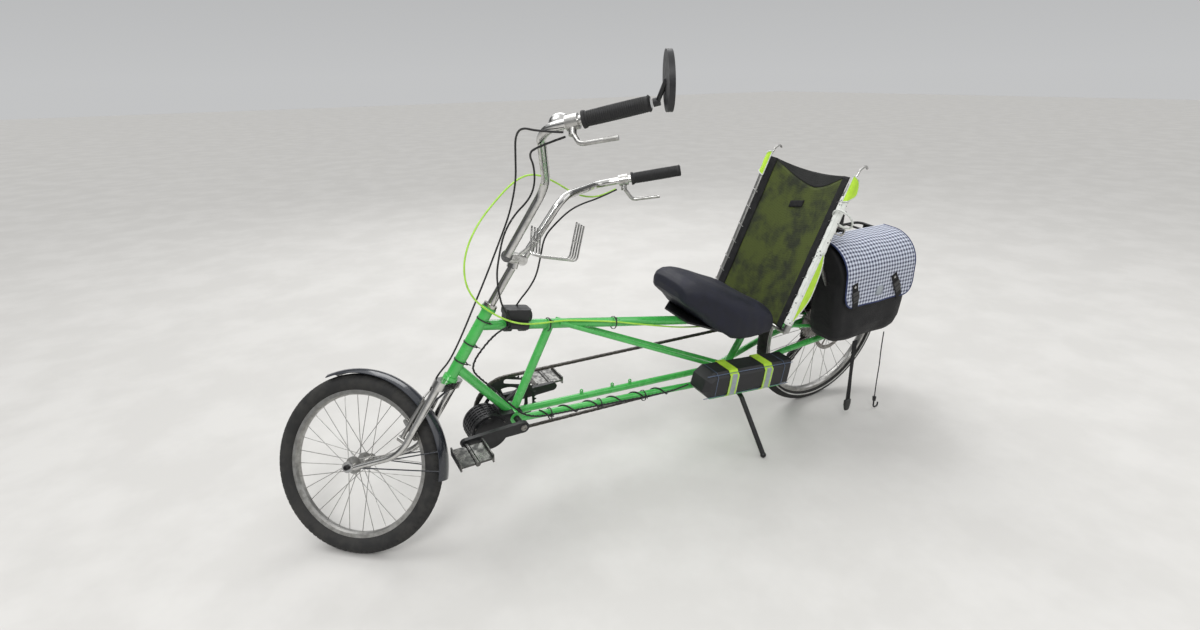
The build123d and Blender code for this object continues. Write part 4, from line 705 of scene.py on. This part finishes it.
# Carrier bags: soft shells that sag below, with a folded lid
BAG_IN, BAG_TOP, BAG_LOW = 71.3, 726.0, 352.0
BAG_LEVELS = (
    # share of the height, half length, half width, middle x
    (0.0, 118, 38, 6), (0.012, 136, 52, 6), (0.04, 152, 64, 8), (0.10, 164, 72, 11), (0.20, 171, 77, 14),
    (0.35, 173, 78, 16), (0.55, 173, 78, 17), (0.70, 172, 76, 22), (0.80, 170, 68, 28), (0.88, 168, 56, 34),
    (0.94, 168, 44, 38), (0.98, 168, 32, 41), (1.0, 166, 24, 43),
)
# The folds of each bag: x at the foot, slope, depth, width
LEFT_FOLDS = ((-70, 0.35, 7, 30), (40, -0.15, 5, 26), (120, 0.10, 5, 22), (-20, 0.9, 6, 24))
RIGHT_FOLDS = ((-60, 0.2, 6, 30), (60, -0.2, 6, 26))


def bag(name, side, folds):
    def point(u, v):
        half_x, half_y, mid_x = between(v, BAG_LEVELS)
        c, s = cos(TURN * u), sin(TURN * u)
        x = half_x * squared(c, 0.36)
        y = half_y * squared(s, 0.36)
        z = BAG_LOW + (BAG_TOP - BAG_LOW) * v
        outer = max(0.0, s) * min(1, (1 - v) * 6)
        for fold_x, slope, deep, wide in folds:
            away = (x - fold_x - slope * (z - BAG_LOW)) / wide
            y -= outer * deep * exp(-away * away) * (0.4 + 0.6 * sin(pi * min(1, v * 1.4)))
        end_fold = abs(c) ** 3 * sin(y * 0.11 + z * 0.012 + 2) * 2.2
        x -= copysign(max(0, end_fold), c)
        y -= outer * (1.5 + 1.5 * sin(x * 0.035 + z * 0.021))
        y = max(-half_y, min(y, half_y))
        return F(mid_x + x, side * (BAG_IN + half_y + 0.5 + y), z)

    made = grid(name, point, 96, 60, "bag_fabric", wrap_u=True, level=1, body=None)
    close_ends(made, 120)
    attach(made, "frame")
    return made


bag_left = bag("bag_left", 1, LEFT_FOLDS)
bag_right = bag("bag_right", -1, RIGHT_FOLDS)
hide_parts("pannier_left")
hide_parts("pannier_right")

# The lids: a flat strip over the bag's top, a round shoulder, and a flap down the outer side
LID_X = (-154.0, 190.0)
LID_INNER_Y, LID_FLAT, SHOULDER, LID_CORNER = 84.0, 46.0, 102.0, 46.0
LID_RISE, LID_SLANT, SLANT_TOP, SHOULDER_END, FLAP = 3.0, 0.12, 532, 206.0, 112


def lid_path(length):
    """The y and the height of the lid's line over the bag's top and down its outer side."""
    bend = pi / 2 * SHOULDER
    if length <= LID_FLAT:
        return LID_INNER_Y + length, BAG_TOP + LID_RISE
    turn = min(1.0, (length - LID_FLAT) / bend) * pi / 2
    y = LID_INNER_Y + LID_FLAT + SHOULDER * sin(turn)
    z = BAG_TOP + LID_RISE - SHOULDER * (1 - cos(turn))
    if length > LID_FLAT + bend:
        z -= length - LID_FLAT - bend
    return y, z


def lid(name, side, look, length):
    def place(x_share, run):
        y, z = lid_path(run)
        x = LID_X[0] + (LID_X[1] - LID_X[0]) * x_share
        down = max(0.0, run - SHOULDER_END) / FLAP
        y += 1.3 * sin(x * 0.041 + 0.5) * (0.4 + down) + 2.0 * down * abs(2 * x_share - 1) ** 3 - 1.6 * down
        z += 1.5 * sin(x * 0.045 + 1) * sin(pi * min(1, run / SHOULDER_END))
        x += LID_SLANT * max(0.0, z - SLANT_TOP)
        return F(x, side * y, z)

    def limit(x_share):
        """How long the lid is at a share of its width: its corners are cut round."""
        near = min(x_share, 1 - x_share) * (LID_X[1] - LID_X[0])
        if near >= LID_CORNER:
            return length
        return length - (LID_CORNER - sqrt(max(0.0, LID_CORNER ** 2 - (LID_CORNER - near) ** 2)))

    made = grid(name, lambda u, v: place(u, limit(u) * v), 64, 64, look, thick=1.8,
                uv=lambda u, v: ((LID_X[1] - LID_X[0]) / 1000 * u, limit(u) / 1000 * v))
    rim = [place(0, limit(0) * k / 30) for k in range(30)]
    rim += [place(k / 60, limit(k / 60)) for k in range(61)]
    rim += [place(1, limit(1) * (1 - (k + 1) / 30)) for k in range(30)]
    return made, rim


lid_left, rim_left = lid("lid_left", 1, "gingham", 318.0)
binding = tube("lid_binding_left", rim_left, 2.7, "navy_binding", 8)
lid_right, rim_right = lid("lid_right", -1, "bag_fabric", 240.0)
binding_right = tube("lid_binding_right", rim_right, 2.4, "black_web", 8)


BAG_FACE = 232.5


def on_side(x, z, out=0.0):
    """A place on the left bag's outer face."""
    return F(x, BAG_FACE + out, z)


STRAP_BULGE = ((0, 1.2), (0.25, 1.8), (0.45, 3.5), (0.6, 5.0), (0.8, 3.0), (1.0, -0.5))
# A clasp's three blocks: start and end along the strap, inner and outer height, width
CLASP = ((0.30, 0.46, 2.0, 6.5, 31), (0.47, 0.62, 2.0, 8.0, 31), (0.63, 0.74, 2.0, 5.5, 27))
STUD = ((4.6, 0.0), (4.6, 0.9), (3.6, 1.8), (1.8, 2.3), (0.1, 2.4))


def buckle(name, top, foot):
    """A webbing strap sewn on the lid, through a buckle, to the bag below."""
    def along(t, out):
        return on_side(top[0] + (foot[0] - top[0]) * t, top[1] + (foot[1] - top[1]) * t, out)
    way = (along(1, 0) - along(0, 0)).normalized()
    wide = way.cross(LEFT).normalized()
    strap = strap_mesh(route([along(t, o) for t, o in STRAP_BULGE]), 26, 2.2, wide)
    body = []
    for start, end, inner, outer, width in CLASP:
        rings = []
        for t in (start, start + 0.02, end - 0.02, end):
            inside = start < t < end
            lift = LEFT * (outer if inside else (inner + outer) / 2) / 1000
            half = wide * width / 2000 * (1.0 if inside else 0.86)
            c, foot_at = along(t, 0), LEFT * inner / 1000
            rings.append([c + half + foot_at, c + half * 0.9 + lift, c - half * 0.9 + lift, c - half + foot_at])
        body.append(loft(rings))
    joined(name, [strap], "black_web")
    joined(name + "_clasp", body, "tie", 30)
    stud = [[along(0.12, 2.2) + LEFT * o / 1000 + (wide * cos(a) + way * sin(a)) * r / 1000
             for a in circle(18)] for r, o in STUD]
    piece(name + "_stud", *loft(stud), "steel_bright")


buckle("lid_strap_front", (160, 604), (134, 508))
buckle("lid_strap_rear", (-36, 606), (-92, 512))


def lid_patch(u, v):
    return on_side(6 + 36 * u, 541 + 34 * v, 1.4 + 0.3 * sin(3 * u))


grid("lid_patch", lid_patch, 6, 6, "silver_patch", thick=0.8)
corners = [on_side(x, z, 2.1) for x, z in ((8, 543), (40, 543), (40, 573), (8, 573), (8, 543))]
stitch = []
for a, b in zip(corners, corners[1:]):
    stitch += [tube_mesh([a.lerp(b, (k + t) / 9) for t in (0.2, 0.8)], 0.35, 5) for k in range(9)]
joined("lid_patch_stitches", stitch, "navy_binding")

# Webbing that hangs from the left bag, with its buckle
# WEB: millimetres down, and aside in x and y. BUCKLE: millimetres down, half its width and half its depth.
web_top = Vector((50, 200, BAG_LOW + 2))
fall = Vector((0, sin(LEAN), -cos(LEAN)))
WEB = ((0, 0, 0), (40, 1.5, 0.6), (90, 3, 1.5), (150, 1, 0.4), (200, -2, -0.8), (240, -1, 0))
BUCKLE = ((236, 12, 3.0), (238, 16.5, 5.4), (256, 17, 6.0), (262, 15, 5.6), (272, 13, 5.0), (279, 10, 4.0),
          (280, 7, 3.0))


def hang(t, x=0.0, y=0.0):
    p = web_top + fall * t + Vector((x, y, 0))
    return F(*p)


web_line = route([hang(t, x, y) for t, x, y in WEB])
wide_way = [towards(F, 1, 0.25 * sin(k / len(web_line) * 3), 0) for k in range(len(web_line))]
web_piece = joined("hanging_webbing", [strap_mesh(web_line, 25, 1.9, wide_way)], "black_web")
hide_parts("hanging_strap")
buckle_rings = []
for t, half_x, half_y in BUCKLE:
    ring = []
    for a in circle(24, 0.5):
        c, s = cos(a), sin(a)
        ring.append(hang(t, half_x * squared(c, 0.5), half_y * squared(s, 0.7)))
    buckle_rings.append(ring)
piece("hanging_buckle", *loft(buckle_rings), "tie", 35)

# Battery: straps round it, with pale patches, its seams, and grey-blue strips along its long edges that are a painted
# highlight
SLOPE = radians(6.2)
BATTERY_MIDDLE = Vector((485, 0, 281))
BATTERY_WAY = Vector((cos(SLOPE), 0, sin(SLOPE)))
BATTERY_UP = Vector((-sin(SLOPE), 0, cos(SLOPE)))
STRAP_INNER, STRAP_OUTER, STRAP_LOW, STRAP_HIGH, STRAP_CUT = 66, 150, -50, 46, 15
SEAM_RING = ((71, -45.6), (138.5, -45.9), (150.2, -34.5), (150.2, 34.5), (138.5, 45.9), (71, 45.6))


def on_battery(along, y, high):
    p = BATTERY_MIDDLE + BATTERY_WAY * along + BATTERY_UP * high
    return F(p.x, y, p.z)


def strap_round(name, along, look, width, grow, thick, span=None):
    """A strap round battery and tray, grown off them; span cuts out a stretch of it, for a patch."""
    high, low = STRAP_HIGH + grow, STRAP_LOW - grow
    inside, outside = STRAP_INNER - grow, STRAP_OUTER + grow
    corners = [(inside, low), (outside - STRAP_CUT, low), (outside, low + STRAP_CUT), (outside, high - STRAP_CUT),
               (outside - STRAP_CUT, high), (inside, high)]
    if span is None:
        corners.append(corners[0])
    line = []
    for a, b in zip(corners, corners[1:]):
        line += [Vector(a).lerp(Vector(b), k / 4) for k in range(4)]
    line.append(corners[-1])
    if span:
        line = line[int(len(line) * span[0]):ceil(len(line) * span[1])]
    points = [on_battery(along + 0.6 * sin(y * 0.2 + z * 0.1), y, z) for y, z in line]
    return joined(name, [strap_mesh(points, width, thick, towards(on_battery, 1, 0, 0))], look)


STRAPS = (("fore", 79), ("aft", -76))
battery_straps = [strap_round("battery_strap_" + label, along, "neon_fabric", 37, 1.0, 1.4) for label, along in STRAPS]
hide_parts("battery_straps")
for label, along in STRAPS:
    strap_round("battery_patch_" + label, along, "silver_patch", 21, 2.2, 0.8, (0.36, 0.62))
    edges = [[on_battery(along + shift, 152.9, h) for h in range(-38, 36, 6)] for shift in (-17, 17)]
    joined("battery_strap_stitch_" + label, [tube_mesh(e, 0.5, 5) for e in edges], "white_piping")
for k, along in enumerate((-150, 150)):
    tube("battery_seam_%d" % k, [on_battery(along, y, z) for y, z in SEAM_RING], 0.9, "edge_blue", 6)
# painted highlight: grey-blue strips along the battery's top and low edges stand in for light caught on them
for sign, label in ((1, "top"), (-1, "low")):
    edge = [on_battery(a, 144.6, sign * 40.6) for a in range(-192, 193, 16)]
    tube("battery_edge_highlight_" + label, edge, 1.3, "edge_blue", 6)

# Cables: one smooth line each, bending where they pass the headset
SHIFT = (
    (868, -140, 906), (904, -154, 886), (962, -146, 888), (1024, -124, 914), (1092, -102, 958), (1166, -72, 994),
    (1228, -48, 990), (1296, -26, 946), (1356, -12, 890), (1394, -4, 822), (1404, 10, 758), (1388, 24, 708),
    (1352, 36, 671), (1307, 40, 637), (1258, 40, 614), (1200, 30, 600), (1124, 17, 588), (1040, 17, 568),
    (960, 18, 549), (880, 19, 524), (800, 19, 500), (720, 20, 477), (650, 19, 462), (590, 8, 446), (528, -12, 430),
    (462, -30, 414), (396, -42, 403), (330, -58, 386), (264, -68, 366), (200, -72, 342), (140, -76, 331),
    (96, -82, 321), (56, -84, 302), (30, -83, 282), (12, -74, 264),
)
LEFT_CONTROL = (
    (1030, 284, 1012), (1108, 262, 1002), (1138, 210, 1002), (1150, 140, 996), (1172, 70, 966), (1200, 36, 936),
    (1246, 30, 900), (1276, 32, 852), (1290, 34, 796), (1300, 34, 742),
)
LEFT_TAIL = ((1318, 34, 694), (1306, 32, 660), (1288, 28, 626))
RIGHT_CONTROL = (
    (1030, -282, 1010), (1084, -262, 984), (1120, -200, 960), (1140, -130, 930), (1162, -74, 890), (1190, -46, 850),
    (1206, -58, 800), (1222, -62, 746),
)
RIGHT_TAIL = ((1222, -6, 690), (1244, -14, 662), (1260, -19, 634))
FRONT_BRAKE = (
    (1030, 298, 1018), (1086, 306, 1024), (1130, 276, 1046), (1166, 220, 1046), (1192, 150, 1020), (1218, 82, 972),
    (1252, 44, 902), (1290, 32, 830), (1330, 31, 744), (1370, 30, 664), (1407, 31, 588), (1441, 33, 527),
    (1468, 34, 500), (1487, 34, 475), (1500.5, 34, 449.8),
)
FRAME_RUN = (
    (1284, 25, 612), (1318, 29, 606), (1346, 27, 586), (1372, 24, 558), (1394, 21, 528), (1402, 21, 498),
    (1380, 21, 466), (1348, 21, 428), (1318, 24, 388), (1292, 33, 354), (1264, 40, 324), (1220, 41, 303),
    (1160, 42, 296), (1080, 44, 289), (1000, 47, 282), (920, 49, 275), (840, 52, 268), (760, 56, 264), (716, 62, 270),
    (690, 74, 284),
)
CABLE_RADIUS = 2.5


def cable(name, line, body, node_name):
    """A cable along the NURBS line of the given control points."""
    made = tube(name, route(line), CABLE_RADIUS, "rubber", body=body)
    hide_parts(node_name)


def crossing(name, line, look, node_name):
    """A cable that runs from the turning bars to the frame; it rides no body."""
    made = tube(name, route(line), CABLE_RADIUS, look, body=None)
    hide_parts(node_name)
    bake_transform(made)


crossing("shift_cable_line", [F(*p) for p in SHIFT], "lime_cable", "shift_cable")
for label, bars, tail in (("left", LEFT_CONTROL, LEFT_TAIL), ("right", RIGHT_CONTROL, RIGHT_TAIL)):
    crossing("control_" + label, [S(*p) for p in bars] + [F(*p) for p in tail], "rubber", "control_cables")
cable("front_brake_line", [S(*p) for p in FRONT_BRAKE], "steering", "front_brake_cable")
cable("frame_line", [F(*p) for p in FRAME_RUN], "frame", "frame_cable")

# Spiral wrap on the lead along the frame: it starts and ends short of the lead's ends, in metres
COIL_SHORT, COIL_PITCH, COIL_RADIUS, COIL_STEPS = 0.05, 0.015, 0.0029, 1100
run = route([F(*p) for p in FRAME_RUN])
ways, normals = frames(run)
lengths = [0.0]
for a, b in zip(run, run[1:]):
    lengths.append(lengths[-1] + (b - a).length)
coil = []
for k in range(COIL_STEPS):
    s = COIL_SHORT + (lengths[-1] - 2 * COIL_SHORT) * k / COIL_STEPS
    i = next(j for j in range(len(lengths) - 1) if lengths[j + 1] >= s)
    t = (s - lengths[i]) / max(1e-9, lengths[i + 1] - lengths[i])
    centre, way, n = run[i].lerp(run[i + 1], t), ways[i], normals[i]
    turn = s / COIL_PITCH * TURN
    coil.append(centre + (n * cos(turn) + way.cross(n) * sin(turn)) * COIL_RADIUS)


# Ties that hold the cables
def tie(name, centre, way, radius, tail, tail_length):
    """A plastic tie round a tube, with its lock and its trimmed tail on the side given by the tail's direction."""
    n = (tail - way * tail.dot(way)).normalized()
    b = way.cross(n)
    ring = [centre + (n * cos(a) + b * sin(a)) * (radius + 0.9) / 1000 for a in circle(28)]
    lock = centre + n * (radius + 2.4) / 1000
    box = []
    for o, h in ((-2.2, 0.8), (-1.8, 1.0), (1.6, 1.0), (2.2, 0.7)):
        c = lock + n * o / 1000
        box.append([c + (way * x + b * y) * 2.6 * h / 1000 for x, y in ((1, 1), (-1, 1), (-1, -1), (1, -1))])
    end = lock + (n * 0.7 + b * 0.7) * tail_length / 1000
    tail_line = [lock, lock.lerp(end, 0.5) + n * 0.001, end]
    joined(name, [strap_mesh(ring + [ring[0]], 3.6, 1.2, way), loft(box), strap_mesh(tail_line, 2.6, 0.9, way)],
           "tie", 35)


def on_head(u, f=0.0, y=0.0):
    """A place at the head tube: u along the steering axis, f in front of it."""
    return F(1646 - 0.5446 * u + 0.8387 * f, y, 189 + 0.8387 * u + 0.5446 * f)


def on_line(a, b, t, dy=0.0, dz=0.0):
    p = Vector(a).lerp(Vector(b), t) + Vector((0, dy, dz))
    return F(*p)


head_way = (on_head(500) - on_head(400)).normalized()
for k, u in enumerate((530, 456, 402)):
    tie("head_tie_%d" % k, on_head(u, -1, 2), head_way, 17.8, towards(F, -1, 0.5, 0.2), 13)
TIES = (
    # name, front and rear end of the tube, shares of its length, y off its middle, radius, tail's direction and length
    ("top_tie_%d", TOP_FRONT, TOP_REAR, (0.20, 0.42), 5, 18.2, (0, 0.6, 1), 20),
    ("lower_tie_%d", LOWER_FRONT, LOWER_REAR, (0.12, 0.34, 0.55), 6, 16.5, (0, 0.9, 0.4), 12),
)
for name, front, back, shares, dy, radius, tail, tail_length in TIES:
    for k, t in enumerate(shares):
        tie(name % k, on_line(front, back, t, dy), (F(*back) - F(*front)).normalized(), radius, towards(F, *tail),
            tail_length)
stay_way = (F(*STAY_BEND) - F(*LOWER_REAR)).normalized()
tie("stay_tie", on_line(LOWER_REAR, STAY_BEND, 0.72), stay_way, 11.2, towards(F, 0, 1, 0.3), 14)
piece("spiral_wrap", *tube_mesh(coil, 0.8, 6), "tie")

# Cord wound round the near lower tube
WOUND_FROM, WOUND_TO, WOUND_RADIUS, WOUND_PITCH, TUBE_LENGTH = 0.08, 0.68, 13.4, 84, 771
wound = []
for k in range(300):
    t = WOUND_FROM + (WOUND_TO - WOUND_FROM) * k / 299
    turn = TURN * t * TUBE_LENGTH / WOUND_PITCH
    wound.append(on_line(LOWER_FRONT, LOWER_REAR, t, WOUND_RADIUS * cos(turn), -WOUND_RADIUS * sin(turn)))
tube("wound_band", wound, 2.4, "tie", 6)

# Brazed eyelets on the far lower tube
EYE_RADIUS, EYE_HOLE, EYE_HALF, EYE_TALL, EYE_SUNK = 5.5, 2.7, 1.8, 13.0, 4.0


def eyelet(name, foot, up, along):
    """A small brazed tab with a hole, standing on a tube."""
    side = up.cross(along).normalized()
    outer, inner = [], []
    for a in circle(24):
        c, s = cos(a), sin(a)
        x, z = EYE_RADIUS * c, EYE_RADIUS * s
        if z < 0:
            x = EYE_RADIUS * copysign(min(1.0, abs(c) * 1.5), c)
            z = -EYE_TALL * min(1.0, -s * 1.5)
        outer.append((x, z))
        inner.append((EYE_HOLE * c, EYE_HOLE * s))
    rings = []
    for outline, out in ((outer, EYE_HALF), (outer, -EYE_HALF), (inner, -EYE_HALF), (inner, EYE_HALF)):
        rings.append([foot + (along * x + up * (EYE_TALL - EYE_SUNK + z) + side * out) / 1000 for x, z in outline])
    piece(name, *loft(rings, closed=True), "frame_green")


far_way = (F(*FAR_REAR) - F(*FAR_FRONT)).normalized()
for k, t in enumerate((0.30, 0.45, 0.54)):
    eyelet("tube_eyelet_%d" % k, on_line(FAR_FRONT, FAR_REAR, t, 0, 12.2), RAISED, far_way)


# Ribbed grips
GRIP_RINGS = 132


def grip(name, sign):
    start, end = Vector((1085, sign * 286, 1032)), Vector((838, sign * 306, 1056))
    start = start + (end - start) * 0.4
    way = (end - start).normalized()
    n = way.cross(UP).normalized()
    b = way.cross(n)
    length = (end - start).length
    rings = []
    for k in range(GRIP_RINGS + 1):
        s = k / GRIP_RINGS
        ribbed = 0.08 < s < 0.93
        r = 16.1 + 0.6 * sin(pi * s) - (0.9 if k % 4 == 0 and ribbed else 0.0)
        if s < 0.05:
            r = 19.4 - 1.5 * (s / 0.05) ** 2
        if s > 0.965:
            r = 17.8 - 5.2 * ((s - 0.965) / 0.035) ** 2
        c = start + way * (length * s)
        rings.append([S(*(c + (n * cos(a) + b * sin(a)) * (r + (0.5 * cos(6 * a) if ribbed else 0))))
                      for a in circle(36)])
    return piece(name, *loft(rings), "rubber", 50, body="steering")


grips = [grip("grip_" + label, sign) for sign, label in SIDES]
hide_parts("grips")

# Mirror glass, slightly domed: radius and height above the mirror's middle
MIRROR_AT = Vector((800, 360, 1078))
DOME = ((46, 11.8), (46, 12.4), (44.5, 12.9), (34, 13.6), (20, 14.1), (6, 14.3), (0.1, 14.3))
glass_way = Vector((-1, -0.25, 0)).normalized()
glass_side = glass_way.cross(UP)
domes = []
for radius, out in DOME:
    middle = MIRROR_AT + glass_way * out
    domes.append([S(*(middle + (glass_side * cos(a) + Vector((0, 0, 1.08)) * sin(a)) * radius))
                  for a in circle(40)])
piece("mirror_glass", *loft(domes), "mirror_face", 30, body="steering")


# Bolts and caps
def bolt(name, centre, way, head, tall, look="steel", body="frame"):
    """A socket screw seen from outside, with a rounded rim."""
    n = way.orthogonal().normalized()
    b = way.cross(n)
    levels = [(head, -0.6), (head, tall * 0.72), (head * 0.93, tall * 0.92), (head * 0.84, tall),
              (head * 0.52, tall), (head * 0.5, tall * 0.45), (0.05, tall * 0.45)]
    rings = []
    for k, (r, o) in enumerate(levels):
        six_sided = k >= 4 and r > 0.1
        ring = []
        for a in circle(24):
            q = r / max(0.87, cos((a % (pi / 3)) - pi / 6)) * 0.9 if six_sided else r
            ring.append(centre + (n * cos(a) + b * sin(a)) * q / 1000 + way * o / 1000)
        rings.append(ring)
    piece(name, *loft(rings), look, 30, body=body)


def on_motor(angle, radius, y):
    return F(MOTOR_X + radius * cos(angle), y, MOTOR_Z + radius * sin(angle))


for k, a in enumerate(circle(6, 0.5)):
    bolt("motor_bolt_%d" % k, on_motor(a, 47, 36.4), LEFT, 4.2, 3.0)
ribs = []
for a in circle(28):
    ends = [on_motor(a, MOTOR_RADIUS, y) for y in (-33, 30)]
    ribs.append(strap_mesh(ends, 2.2, 2.4, towards(F, -sin(a), 0, cos(a))))
joined("motor_ribs", ribs, "black_metal", 35)
for sign, label in SIDES:
    crank_end = F(CRANK_AXLE[0], sign * 87.3, CRANK_AXLE[2])
    bolt("crank_cap_" + label, crank_end, LEFT * sign, 9.5, 2.5, body="crankset")
for sign, label in SIDES:
    axle_end = S(FRONT_AXLE[0], sign * 60.5, FRONT_AXLE[2])
    bolt("front_axle_nut_" + label, axle_end, STEER_LEFT * sign, 7.5, 6, "black_metal", "steering")

# Elastic cord hanging from the left bag
CORD_LENGTH = 270
SWAY = (0.0, 2.5, -2.0, 1.5, 0.0)
cord_top = Vector((-112, 196, BAG_LOW - 1))
cord_points = [F(*(cord_top + fall * CORD_LENGTH * k / 4 + Vector((sway, 0, 0)))) for k, sway in enumerate(SWAY)]
cord_line = route(cord_points)
elastic = tube("elastic_cord", cord_line, 2.0, "elastic")
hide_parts("hanging_cord")
tuple(cord_points[0])
[tuple(p) for p in cord_line]

# Floor and light
bpy.ops.mesh.primitive_plane_add(size=60)
floor = bpy.context.object
floor.name = "floor"
pale = finish_of("floor", (0.56, 0.55, 0.53), (0.60, 0.59, 0.57), rough=0.85, scale=3, bump=0.05)
floor.data.materials.append(pale)

# The sky is pale at the horizon, dim above it, and bright overhead
SKY = ((0.0, 0.80), (0.10, 0.72), (0.22, 0.20), (0.42, 0.14), (0.55, 0.95))
world = bpy.data.worlds.new("studio")
world.use_nodes = True
scene.world = world
sky = world.node_tree
sky_split = textured(sky, "SeparateXYZ", "Generated")
sky_ramp = node(sky, "ValToRGB")
sky.links.new(sky_split.outputs["Z"], sky_ramp.inputs["Fac"])
for height, tone in SKY:
    stop = sky_ramp.color_ramp.elements[0] if height == 0.0 else sky_ramp.color_ramp.elements.new(height)
    stop.position, stop.color = height, (tone, tone * 1.01, tone * 1.02, 1)
sky_ramp.color_ramp.elements[-1].color = (1.5, 1.5, 1.5, 1)
sky.links.new(sky_ramp.outputs["Color"], sky.nodes["Background"].inputs["Color"])
sky.nodes["Background"].inputs["Strength"].default_value = 0.68


def soft_light(name, place, aim, size, power):
    lamp = added(name, bpy.data.lights.new(name, "AREA"))
    lamp.data.size, lamp.data.energy = size, power
    lamp.location = place
    lamp.rotation_euler = (Vector(aim) - Vector(place)).to_track_quat("-Z", "Y").to_euler()


soft_light("key", (2.6, 3.0, 4.0), (0, 0, 0.4), 1.8, 115)
soft_light("fill", (-3.4, 2.2, 2.8), (0, 0, 0.5), 3.0, 30)
soft_light("rim", (-1.0, -3.2, 3.4), (0, 0, 0.6), 2.6, 60)
sun = added("sky_glow", bpy.data.lights.new("sky_glow", "SUN"))
sun.data.energy, sun.data.angle = 0.9, radians(40)
sun.rotation_euler = (radians(22), radians(18), 0)
